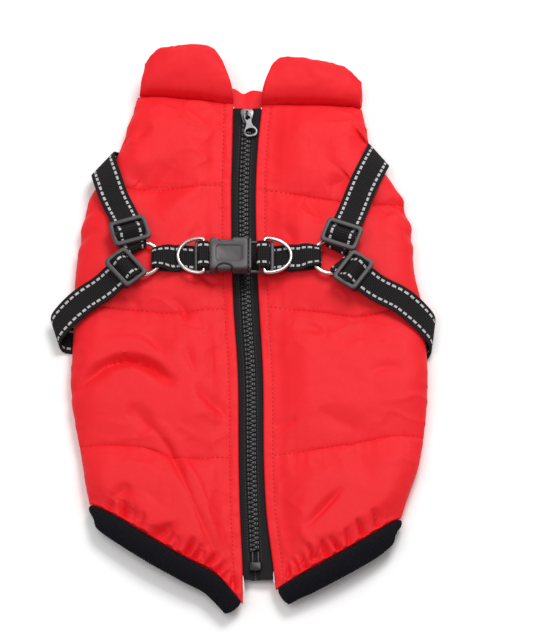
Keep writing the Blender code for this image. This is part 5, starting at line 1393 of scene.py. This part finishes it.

# %% [markdown]
# The slider is a cast body with a bridge over it; the bridge is coloured darker as painted dark
# reflection. The pull tab hangs on the bridge by its eye and has an oval hole at the free end. It
# rides on its own body, so it can be lifted. At the bottom both sides end in pins that run into the
# retainer box.

# %% Slider, pull tab, retainer box
AXIS_Y, AXIS_Z = 372.6, 12.1
SLIDER_MID, SHIELD_Z, PLATE_Z = 372.8, (8.75, 10.3), (5.5, 6.3)     # shield on top, plate below
POST, POST_Z = (-1.5, 1.5, 373.6, 377.2), (5.9, 9.2)                # what joins them
slider_x = float(chain_x(SLIDER_MID))
builder = new_builder()
shield = rounded((-4.6, 4.6, *SLIDER_Y), 2.4, 120)
to_top = (shield[:, 1] - SLIDER_Y[0]) / (SLIDER_Y[1] - SLIDER_Y[0])
shield[:, 0] *= mix(0.66, 1.0, smooth(to_top * 1.2))
add_roll(builder, slab(shield, *SHIELD_Z, 0.55) + (slider_x, 0, 0))
add_roll(builder, slab(rounded(POST, 0.7, 40), *POST_Z, 0.1) + (slider_x, 0, 0))
add_roll(builder, slab(shield, *PLATE_Z, 0.3) + (slider_x, 0, 0))
arch = np.array([(-2.25, 9.7), (-2.25, 11.4), (-2.2, 12.9), (-1.5, 13.9), (0.0, 14.15), (1.5, 13.9),
                 (2.2, 12.9), (2.25, 11.4), (2.25, 9.7)])
arch = np.stack([curve(range(9), arch[:, k], np.linspace(0, 8, 40)) for k in (0, 1)], -1)
path = np.column_stack((np.full(40, slider_x), arch[:, 0] + AXIS_Y, arch[:, 1]))
way = normalised(np.gradient(path, axis=0))
turn = 2 * math.pi * (np.arange(12) + 0.5) / 12
out, up = (np.sign(a) * abs(a)**0.6 for a in (np.cos(turn), np.sin(turn)))
make_piece(builder, "zip_slider_cast", CAST, ["zip_slider"])
builder = new_builder()
add_roll(builder, path[:, None] + (np.array((0.9, 0, 0)) * out[:, None])[None]
         + np.cross((1, 0, 0), way)[:, None] * (0.5 * up)[:, None])
# The bridge's darker colour is painted dark reflection on the same casting as the slider.
make_piece(builder, "zip_bridge_cast", BRIDGE_CAST_PAINTED_REFLECTION)

# half widths of the tab down its length from the axis
PULL = [(1.0, 2.0), (0.3, 2.5), (-3.8, 2.5), (-6.4, 2.1), (-8.6, 2.9), (-10.6, 4.4), (-12.8, 5.0),
        (-14.8, 4.4), (-16.0, 3.1), (-16.6, 1.8)]
PULL_LEAN, PULL_DROP, PULL_THICK = 11.0, 5.5, 0.8       # degrees, degrees, half its thickness in mm
PULL_EYE, PULL_HOLE = ((0.0, -2.6), (1.8, 1.65)), ((0.0, -12.7), (3.7, 2.6))    # middle, half sizes
y_grid, v_grid = np.meshgrid(np.linspace(1.0, -16.6, 90), np.linspace(-1.0, 1.0, 41), indexing="ij")
x = v_grid * curve([-y for y, _ in PULL], [w for _, w in PULL], -y_grid)
first, x, y = open_hole(x, y_grid, *PULL_EYE)
second, x, y = open_hole(x, y, *PULL_HOLE)
flat_top = np.stack((x, y, np.full_like(x, PULL_THICK)), -1)
ends = np.maximum(np.clip((y_grid - 0.4) / 0.6, 0, 1), np.clip((-16.0 - y_grid) / 0.6, 0, 1))
depth = np.maximum(np.clip((abs(v_grid) - 0.8) / 0.2, 0.0, 1.0), ends)
high, low = round_edge(flat_top, flat_top * (1, 1, -1), depth)
tilt = (Matrix.Translation((float(chain_x(AXIS_Y)), AXIS_Y, AXIS_Z))
        @ Matrix.Rotation(math.radians(PULL_LEAN), 4, "Z")
        @ Matrix.Rotation(math.radians(PULL_DROP), 4, "X"))
wall("zip_pull_cast", moved(high, tilt), moved(low, tilt), CAST, ["zip_pull"],
     body="pull", gone=first | second)

BOX_Y, BOX_MID, BOX_HALF, BOX_TALL = (29.0, 35.2), 32.1, 3.8, 2.6
PIN_OUT, PIN_HALF = 1.9, 0.8
builder = new_builder()
box_x, base = float(chain_x(BOX_MID)), TAPE_Z[1] - float(zip_drop(BOX_MID)) + GAP
box = rounded((box_x - BOX_HALF, box_x + BOX_HALF, *BOX_Y), 1.2)
add_roll(builder, slab(box, base, base + BOX_TALL, 0.6))
for side in (-1, 1):
    pin_x = box_x + side * PIN_OUT
    pin = (pin_x - PIN_HALF, pin_x + PIN_HALF, BOX_Y[1] - 0.2, CHAIN_Y[0] - 0.8)
    add_roll(builder, slab(rounded(pin, 0.7, 40), base - 1.2, base + 0.5, 0.5))
make_piece(builder, "zip_box_moulded", TEETH, ["zip_box"])
print("slider, pull tab, retainer box and pins")

# %% [markdown]
# Webbing is woven flat, about 20 mm wide, with firm rounded edges. Every strap follows its own route:
# a long one is looped round its ring, over its adjuster's middle bar and round the side. A strap
# that turns round a fold crosses it at a slant, so its UV map is read along the strap itself and
# the reflective dashes stay square to it.

# %% Weaving a strap between two edge lines
WEB_SIDES = 28


def strap_piece(name, edges, facings, replaces):
    """Webbing between two edge lines (n x 2 x 3, mm) that faces as told at each edge."""
    ways = normalised(np.gradient(edges, axis=0))
    normals = normalised(facings - ways * (facings * ways).sum(axis=-1, keepdims=True))
    turn = 2 * math.pi * np.arange(WEB_SIDES) / WEB_SIDES
    across, up = (np.sign(a) * abs(a)**0.32 for a in (np.cos(turn), np.sin(turn)))
    share = (0.5 - 0.5 * across)[None, :, None]
    selvedge = 1.0 + 0.16 * smooth((abs(across) - 0.86) / 0.1)
    rings = (mix(edges[:, :1], edges[:, 1:], share)
             + mix(normals[:, :1], normals[:, 1:], share)
             * (0.5 * WEB_THICK * up * selvedge)[None, :, None])
    middles = edges.mean(axis=1)
    way = normalised(np.gradient(middles, axis=0))
    marks = spacing(middles)
    along = marks[:, None] + ((rings - middles[:, None]) * way[:, None]).sum(axis=-1)
    uv = np.stack((np.broadcast_to(across * 0.5 * WEB_WIDTH, along.shape), along), -1)
    uv = np.concatenate((uv, uv[:, :1]), axis=1)
    builder = new_builder()
    add_roll(builder, rings, uv=uv)
    made = make_piece(builder, name + "_web", WEBBING, replaces)
    print(name, round(marks[-1]), "mm long")


def crosswise(middles, ways, facings, widths):
    """Edges of a strip, from its middle line, directions, facings and widths."""
    across = normalised(np.cross(facings, ways)) * 0.5 * widths[:, None]
    return np.stack((middles - across, middles + across), 1)


def read_profile(profile, fine=7):
    """A strap's profile (rows of numbers) read smoothly, with several steps to each row."""
    profile = np.array(profile)
    steps = np.linspace(0, len(profile) - 1, fine * (len(profile) - 1) + 1)
    return np.stack([curve(range(len(profile)), profile[:, k], steps) for k in range(3)]), steps


def hairpin_rows(middle, radius, toward=1, spread=3.2):
    """Half a turn round a ring's wire, from under it to over it, narrowest where it turns."""
    for angle in (270, 240, 210, 180, 150, 120, 90):
        bend = math.radians(angle)
        yield (middle + toward * radius * math.cos(bend), RING_Z + radius * math.sin(bend),
               WEB_LOOP_WIDTH + spread * math.sin(bend)**4)


# %% [markdown]
# A long strap starts under its adjuster, runs to its ring, turns round the wire, comes back over the
# adjuster's middle bar and goes on to the side of the coat. Its profile is a short list of distances,
# heights and widths, read smoothly, which is easier to correct than points in space. Round the side
# it lies in a bent sheet, because webbing folds and doesn't stretch.

# %% The four long straps
RADIUS = RING_Z - HARNESS_LOW_Z
ROUTE_STEPS, TURN_STEPS = 40, 70
STRAIGHT_IN, STRAIGHT_OUT = 8.0, 12.0       # straight before and after an adjuster's place
LOOP_END, LOOP_SAG = 10.5, 0.4              # past the adjuster, where the strap begins to come down
SETTLING = ((0.2, 21.2), (0.45, 19.2), (0.7, 18.6), (1.0, 18.2))    # share of the rest, height


def long_strap(side, which):
    """Looped on its ring, through its adjuster, and round the side."""
    junction, turn = JUNCTIONS[side], TURNS[side, which]
    slide, way = junction[which], unit(junction[which]["heading"])[:2]
    end, end_heading = turn_middle(turn, turn_length(TURN_FROM))
    at = np.array(slide["at"])
    line = plan_curve([junction["ring"], at - way * STRAIGHT_IN, at + way * STRAIGHT_OUT, end],
                      [slide["start"], slide["heading"], slide["heading"], end_heading], ROUTE_STEPS)
    marks = spacing(line)
    mid = marks[ROUTE_STEPS] + STRAIGHT_IN
    hairpin = slide["fold"] + 0.5 * WEB_THICK + RADIUS
    crest = LOOP_TOP_Z + 2 * ADJUSTER_RISE
    profile = [(max(mid + 7.0, hairpin + 8.0), HARNESS_LOW_Z, WEB_WIDTH),
               (hairpin + 4.0, HARNESS_LOW_Z, mix(WEB_LOOP_WIDTH, WEB_WIDTH, 0.8)),
               *hairpin_rows(hairpin, RADIUS)]
    if mid - ADJUSTER_DIP - hairpin > 0.3:
        profile.append((mid - ADJUSTER_DIP, LOOP_TOP_Z, mix(WEB_LOOP_WIDTH, WEB_WIDTH, 0.95)))
    profile += [(mid - ADJUSTER_CREST, crest, WEB_WIDTH), (mid + ADJUSTER_CREST, crest, WEB_WIDTH),
                (mid + ADJUSTER_DIP, LOOP_TOP_Z, WEB_WIDTH),
                (mid + LOOP_END, LOOP_TOP_Z - LOOP_SAG, WEB_WIDTH)]
    rest = marks[-1] - mid - LOOP_END
    profile += [(mid + LOOP_END + rest * share, height, WEB_WIDTH) for share, height in SETTLING]
    (distance, z, width), steps = read_profile(profile)
    plan_ways = normalised(np.gradient(line, marks, axis=0))
    plan = np.stack([np.interp(distance, marks, line[:, k]) for k in (0, 1)], -1)
    plan_way = np.stack([np.interp(distance, marks, plan_ways[:, k]) for k in (0, 1)], -1)
    run, rise = np.gradient(distance)[:, None], np.gradient(z)[:, None]
    ways = normalised(np.concatenate((plan_way * run, rise), axis=1))
    facings = normalised(np.concatenate((-plan_way * rise, run), axis=1))
    edges = crosswise(np.column_stack((plan, z)), ways, facings, width)
    facings = np.stack((facings, facings), 1)
    turned = np.array([turn_edges(turn, p) for p in np.linspace(TURN_FROM, TURN_TO, TURN_STEPS)])
    settle = smooth(steps - steps[-1] + 1.0)[:, None, None]
    edges = edges + settle * (turned[0, :, 0] - edges[-1])
    facings = mix(facings, turned[0, :, 1], settle)
    name = "strap_%s_%s" % (which, NAMES[side])
    strap_piece(name, np.concatenate((edges, turned[1:, :, 0])),
                np.concatenate((facings, turned[1:, :, 1])), [name])


for side in (-1, 1):
    for which in ("upper", "lower"):
        long_strap(side, which)

# %% [markdown]
# The chest and girth straps join the long ones under the coat and lie flat on the ground. Each middle
# strap is looped on its ring too. It passes under the end bar of the buckle's ladder, comes up
# through the outer slot, goes over the lead ring's bar and down through the inner slot, which is what
# holds the lead ring. It is read from a profile like the long straps', so one way of making serves.

# %% The straps under the coat and to the buckle
UNDER_STEPS = 90
for name, path in UNDER_PATHS.items():
    marks = spacing(path)
    even = np.linspace(GAP + 0.1, marks[-1] - GAP - 0.1, UNDER_STEPS)
    line = np.column_stack([np.interp(even, marks, path[:, k]) for k in (0, 1)]
                           + [np.full(UNDER_STEPS, TURN_PROFILE[-1, 1])])
    facing = np.tile(-UP, (UNDER_STEPS, 1))
    ways = normalised(np.gradient(line, axis=0))
    edges = crosswise(line, ways, facing, np.full(UNDER_STEPS, WEB_WIDTH))
    strap_piece(name, edges, np.stack((facing, facing), 1), [name])

BUCKLE_Y, BUCKLE_Z = 258.9, (19.6, 22.0)
# x of the outer end, the end bar's inside, both sides of the middle bar, both sides of the body
LADDER = {-1: (-37.2, -35.2, -33.1, -29.2, -27.1, -1.1), 1: (16.1, 13.6, 11.4, 7.4, 0.5, -0.7)}
HUMP_WALL_IN = {-1: -28.15, 1: 5.35}
D_RING = {-1: ((-31.15, 23.65), 17.2), 1: ((9.55, 23.65), 18.0)}     # bar x and z, reach
D_RING_HALF, D_RING_WIRE, D_RING_DROP = 12.9, 1.3, 0.9
for side in (-1, 1):
    ring, toward = JUNCTIONS[side]["ring"], -side
    end_bar, end_bar_in, bar_out = LADDER[side][:3]
    hairpin = ring[0] + toward * (6.6 + 0.5 * WEB_THICK + RADIUS)
    wall_out, wall_in = 0.5 * (end_bar_in + bar_out), HUMP_WALL_IN[side]
    wire = ring[0] + toward * (RING_R + RING_WIRE)
    top = D_RING[side][0][1] + D_RING_WIRE + GAP + 0.5 * WEB_THICK
    under = BUCKLE_Z[0] - GAP - 0.5 * WEB_THICK - 0.25
    profile = [(end_bar - toward * 9.5, HARNESS_LOW_Z, WEB_WIDTH),
               (hairpin + toward * 5.0, HARNESS_LOW_Z, mix(WEB_LOOP_WIDTH, WEB_WIDTH, 0.5)),
               *hairpin_rows(hairpin, RADIUS, toward, 1.0),
               (wire + toward * 0.8, LOOP_TOP_Z - 0.1, mix(WEB_LOOP_WIDTH, WEB_WIDTH, 0.6)),
               (wire + toward * 4.6, 21.9, WEB_WIDTH), (wire + toward * 8.2, 20.4, WEB_WIDTH),
               (end_bar - toward * 9.7, 20.35, WEB_WIDTH), (end_bar - toward * 1.6, under, WEB_WIDTH),
               (wall_out - toward * 0.9, under, WEB_WIDTH), (wall_out, under + 1.3, WEB_WIDTH),
               (wall_out, top - 1.2, WEB_WIDTH), (wall_out + toward * 1.2, top, WEB_WIDTH),
               (wall_in - toward * 1.2, top, WEB_WIDTH), (wall_in, top - 1.2, WEB_WIDTH),
               (wall_in, BUCKLE_Z[0] - 0.2, WEB_WIDTH)]
    (x, z, width), _ = read_profile(profile)
    y = mix(ring[1], BUCKLE_Y, smooth((x - ring[0]) / (wall_out - ring[0])))
    run, rise = np.gradient(x) * toward, np.gradient(z)
    facing = normalised(np.stack((-rise * toward, 0 * x, run), -1))
    way = normalised(np.stack((run * toward, 0 * x, rise), -1))
    name = "strap_middle_" + NAMES[side]
    edges = crosswise(np.stack((x, y, z), -1), way, facing, width)
    strap_piece(name, edges, np.stack((facing, facing), 1), [name])

# %% [markdown]
# Rings are bent from round wire: the junction rings are full circles, and each lead ring is a D
# whose straight side is the hinge that turns in the webbing's fold.


# %% Wire rings
def wire(name, path, radius, body="coat", sides=16):
    """A closed loop of round wire along a path (mm) that lies nearly flat."""
    along = normalised(np.roll(path, -1, axis=0) - np.roll(path, 1, axis=0))
    across = normalised(np.cross(along, UP))
    up = np.cross(across, along)
    turn = 2 * math.pi * np.arange(sides) / sides
    rings = (path[:, None] + across[:, None] * (radius * np.cos(turn))[:, None]
             + up[:, None] * (radius * np.sin(turn))[:, None])
    builder = new_builder()
    add_roll(builder, rings, closed=True)
    make_piece(builder, name + "_wire", PLATED, [name], body)


for side in (-1, 1):
    turn = np.linspace(0.0, 2 * math.pi, 110, endpoint=False)
    x, y = JUNCTIONS[side]["ring"]
    wire("ring_" + NAMES[side], np.stack((x + RING_R * np.cos(turn), y + RING_R * np.sin(turn),
                                          np.full(110, RING_Z)), -1), RING_WIRE)
    (bar_x, bar_z), reach = D_RING[side]
    bow = np.linspace(-0.5 * math.pi, 0.5 * math.pi, 17)
    corner = 2.6
    plan = [(corner + (reach - corner) * math.cos(a), D_RING_HALF * math.sin(a)) for a in bow]
    plan += [(0.55, D_RING_HALF - 0.55), (0.0, D_RING_HALF - 2.2), (0.0, 0.0),
             (0.0, 2.2 - D_RING_HALF), (0.55, 0.55 - D_RING_HALF)]
    plan = np.array(plan[-3:] + plan + plan[:3])
    marks = spacing(plan)
    even = np.linspace(marks[3], marks[-3], 150, endpoint=False)
    out, y = (curve(marks, plan[:, k], even) for k in (0, 1))
    wire("d_ring_" + NAMES[side], np.stack((bar_x + side * out, BUCKLE_Y + y,
                                            bar_z - D_RING_DROP * out / reach), -1),
         D_RING_WIRE, "lead_ring_" + NAMES[side])
print("two junction rings and two lead rings")

# %% [markdown]
# A slide adjuster is an open frame with a middle bar that the webbing passes over. Frame and bar are
# made flat round the origin and then turned to the heading of their strap, which is simpler than
# making them at a slant.

# %% Slide adjusters
middle_z = LOOP_TOP_Z + ADJUSTER_RISE
for side in (-1, 1):
    for which in ("upper", "lower"):
        spot = JUNCTIONS[side][which]
        tilt = (Matrix.Translation((*spot["at"], middle_z))
                @ Matrix.Rotation(math.radians(spot["heading"] - 90.0), 4, "Z"))
        builder = new_builder()
        ring = open_frame(rounded((-12.7, 12.7, -9.3, 9.3), 2.8), rounded((-10.0, 10.0, -6.4, 6.4), 1.4),
                          -1.6, 1.6, power=0.4)
        add_roll(builder, moved(ring, tilt), closed=True)
        bar = slab(rounded((-10.9, 10.9, -1.3, 1.3), 0.6), -1.3, 1.3, 0.6)
        add_roll(builder, moved(bar, tilt))
        name = "adjuster_%s_%s" % (which, NAMES[side])
        make_piece(builder, name + "_frame", ADJUSTER_PLASTIC, [name])
print("four slide adjusters")

# %% [markdown]
# The side-release buckle joins both middle straps. Each half has a ladder for its webbing. The socket
# has a sunken panel on top and a scallop in each side, where the clip's prongs show and are pressed
# to open it. Only what shows is made: the socket is a solid block, and the prongs are short pads in
# its scallops.

# %% Side-release buckle
BUCKLE_HALF, BODY_Z, CLIP_Z = 12.0, (18.7, 28.0), (19.1, 27.2)
LADDER_HALF, BAR_HALF = 10.2, 10.6          # half lengths of a ladder's opening and of its bar
WINDOW_X, WINDOW_HALF, WINDOW_DEPTH = -17.2, 6.2, {-1: 4.0, 1: 3.2}
PRONG_HALF, PRONG_Y, PRONG_Z = 5.6, (6.6, 11.5), (20.2, 26.4)
PANEL = (-22.9, -5.3, -5.9, 5.9)            # the sunken panel on the socket
for side in (-1, 1):
    end, end_in, bar_out, bar_in, body, far = LADDER[side]
    shift = Matrix.Translation((0.0, BUCKLE_Y, 0.0))
    builder = new_builder()
    last = body - side * 1.0
    outer = rounded((min(end, last), max(end, last), -BUCKLE_HALF, BUCKLE_HALF), 1.6)
    inner = rounded((min(end_in, body), max(end_in, body), -LADDER_HALF, LADDER_HALF), 0.6)
    add_roll(builder, moved(open_frame(outer, inner, *BUCKLE_Z), shift), closed=True)
    bar = rounded((min(bar_in, bar_out), max(bar_in, bar_out), -BAR_HALF, BAR_HALF), 0.5)
    add_roll(builder, moved(slab(bar, BUCKLE_Z[0] + 0.1, BUCKLE_Z[1] - 0.1, 0.5), shift))
    if side < 0:
        outline = rounded((body, far, -BUCKLE_HALF, BUCKLE_HALF), 2.2, 240)
        for edge, deep in WINDOW_DEPTH.items():
            t = np.clip(abs(outline[:, 0] - WINDOW_X) / WINDOW_HALF, 0.0, 1.0)
            on_edge = outline[:, 1] * edge > BUCKLE_HALF - 0.05
            outline[:, 1] -= on_edge * edge * deep * (1.0 - t**2)**0.7
            prong_y = sorted(edge * y for y in PRONG_Y)
            prong = rounded((WINDOW_X - PRONG_HALF, WINDOW_X + PRONG_HALF, *prong_y), 2.3)
            add_roll(builder, moved(slab(prong, *PRONG_Z, 1.6), shift))
        rings = slab(outline, *BODY_Z, 1.5, steps=6)
        panel = rounded(PANEL, 2.0, 240)
        sunk = [np.column_stack((drawn_in(panel, inset), np.full(240, z)))
                for inset, z in ((-0.25, BODY_Z[1]), (0.0, BODY_Z[1] - 0.12), (0.35, BODY_Z[1] - 0.7),
                                 (0.7, BODY_Z[1] - 0.8))]
        add_roll(builder, moved(np.concatenate((rings, sunk)), shift))
    else:
        shoulder = rounded((far, body + 0.3, 0.6 - BUCKLE_HALF, BUCKLE_HALF - 0.6), 0.5)
        add_roll(builder, moved(slab(shoulder, *CLIP_Z, 0.4), shift))
    name = "buckle_socket" if side < 0 else "buckle_clip"
    make_piece(builder, name + "_moulded", ACETAL, [name], crease=40)
print("buckle socket and clip")

# %% [markdown]
# A white lining shows only as slivers at both ends of the zip, where the plackets' folded edges
# open. Each is a short soft roll tucked under the placket. The rest of the lining is never seen, so
# it isn't made.

# %% Lining slivers
SLIVER_HALF, SLIVER_THICK, SLIVER_Z = 0.9, 0.45, 9.2        # half width, half thickness, height
#            side  from y  to y  how far out of the folded edge at both ends
SLIVERS = [(-1, 13.0, 27.0, 1.5, 0.4), (1, 20.0, 30.0, 1.2, 0.3), (-1, 378.6, 380.2, 0.4, 0.8),
           (1, 378.0, 379.7, 0.4, 0.8)]
builder = new_builder()
turn = 2 * math.pi * np.arange(10) / 10
for side, y0, y1, out0, out1 in SLIVERS:
    y = np.linspace(y0, y1, 24)
    x = placket_x(side, y) - side * (mix(out0, out1, (y - y0) / (y1 - y0)) - SLIVER_HALF)
    taper = np.sqrt(np.clip(1 - (np.linspace(-1, 1, 24))**4, 0.05, 1))[:, None]
    z = SLIVER_Z - zip_drop(y) * 1.05
    path = np.stack((x + 0.25 * ripple(y / 2.0, side), y, z), -1)
    add_roll(builder, path[:, None]
             + np.array((1, 0, 0)) * (SLIVER_HALF * taper * np.cos(turn))[..., None]
             + UP * (SLIVER_THICK * taper * np.sin(turn))[..., None])
make_piece(builder, "lining_slivers", LINING)
print(len(SLIVERS), "slivers of lining")
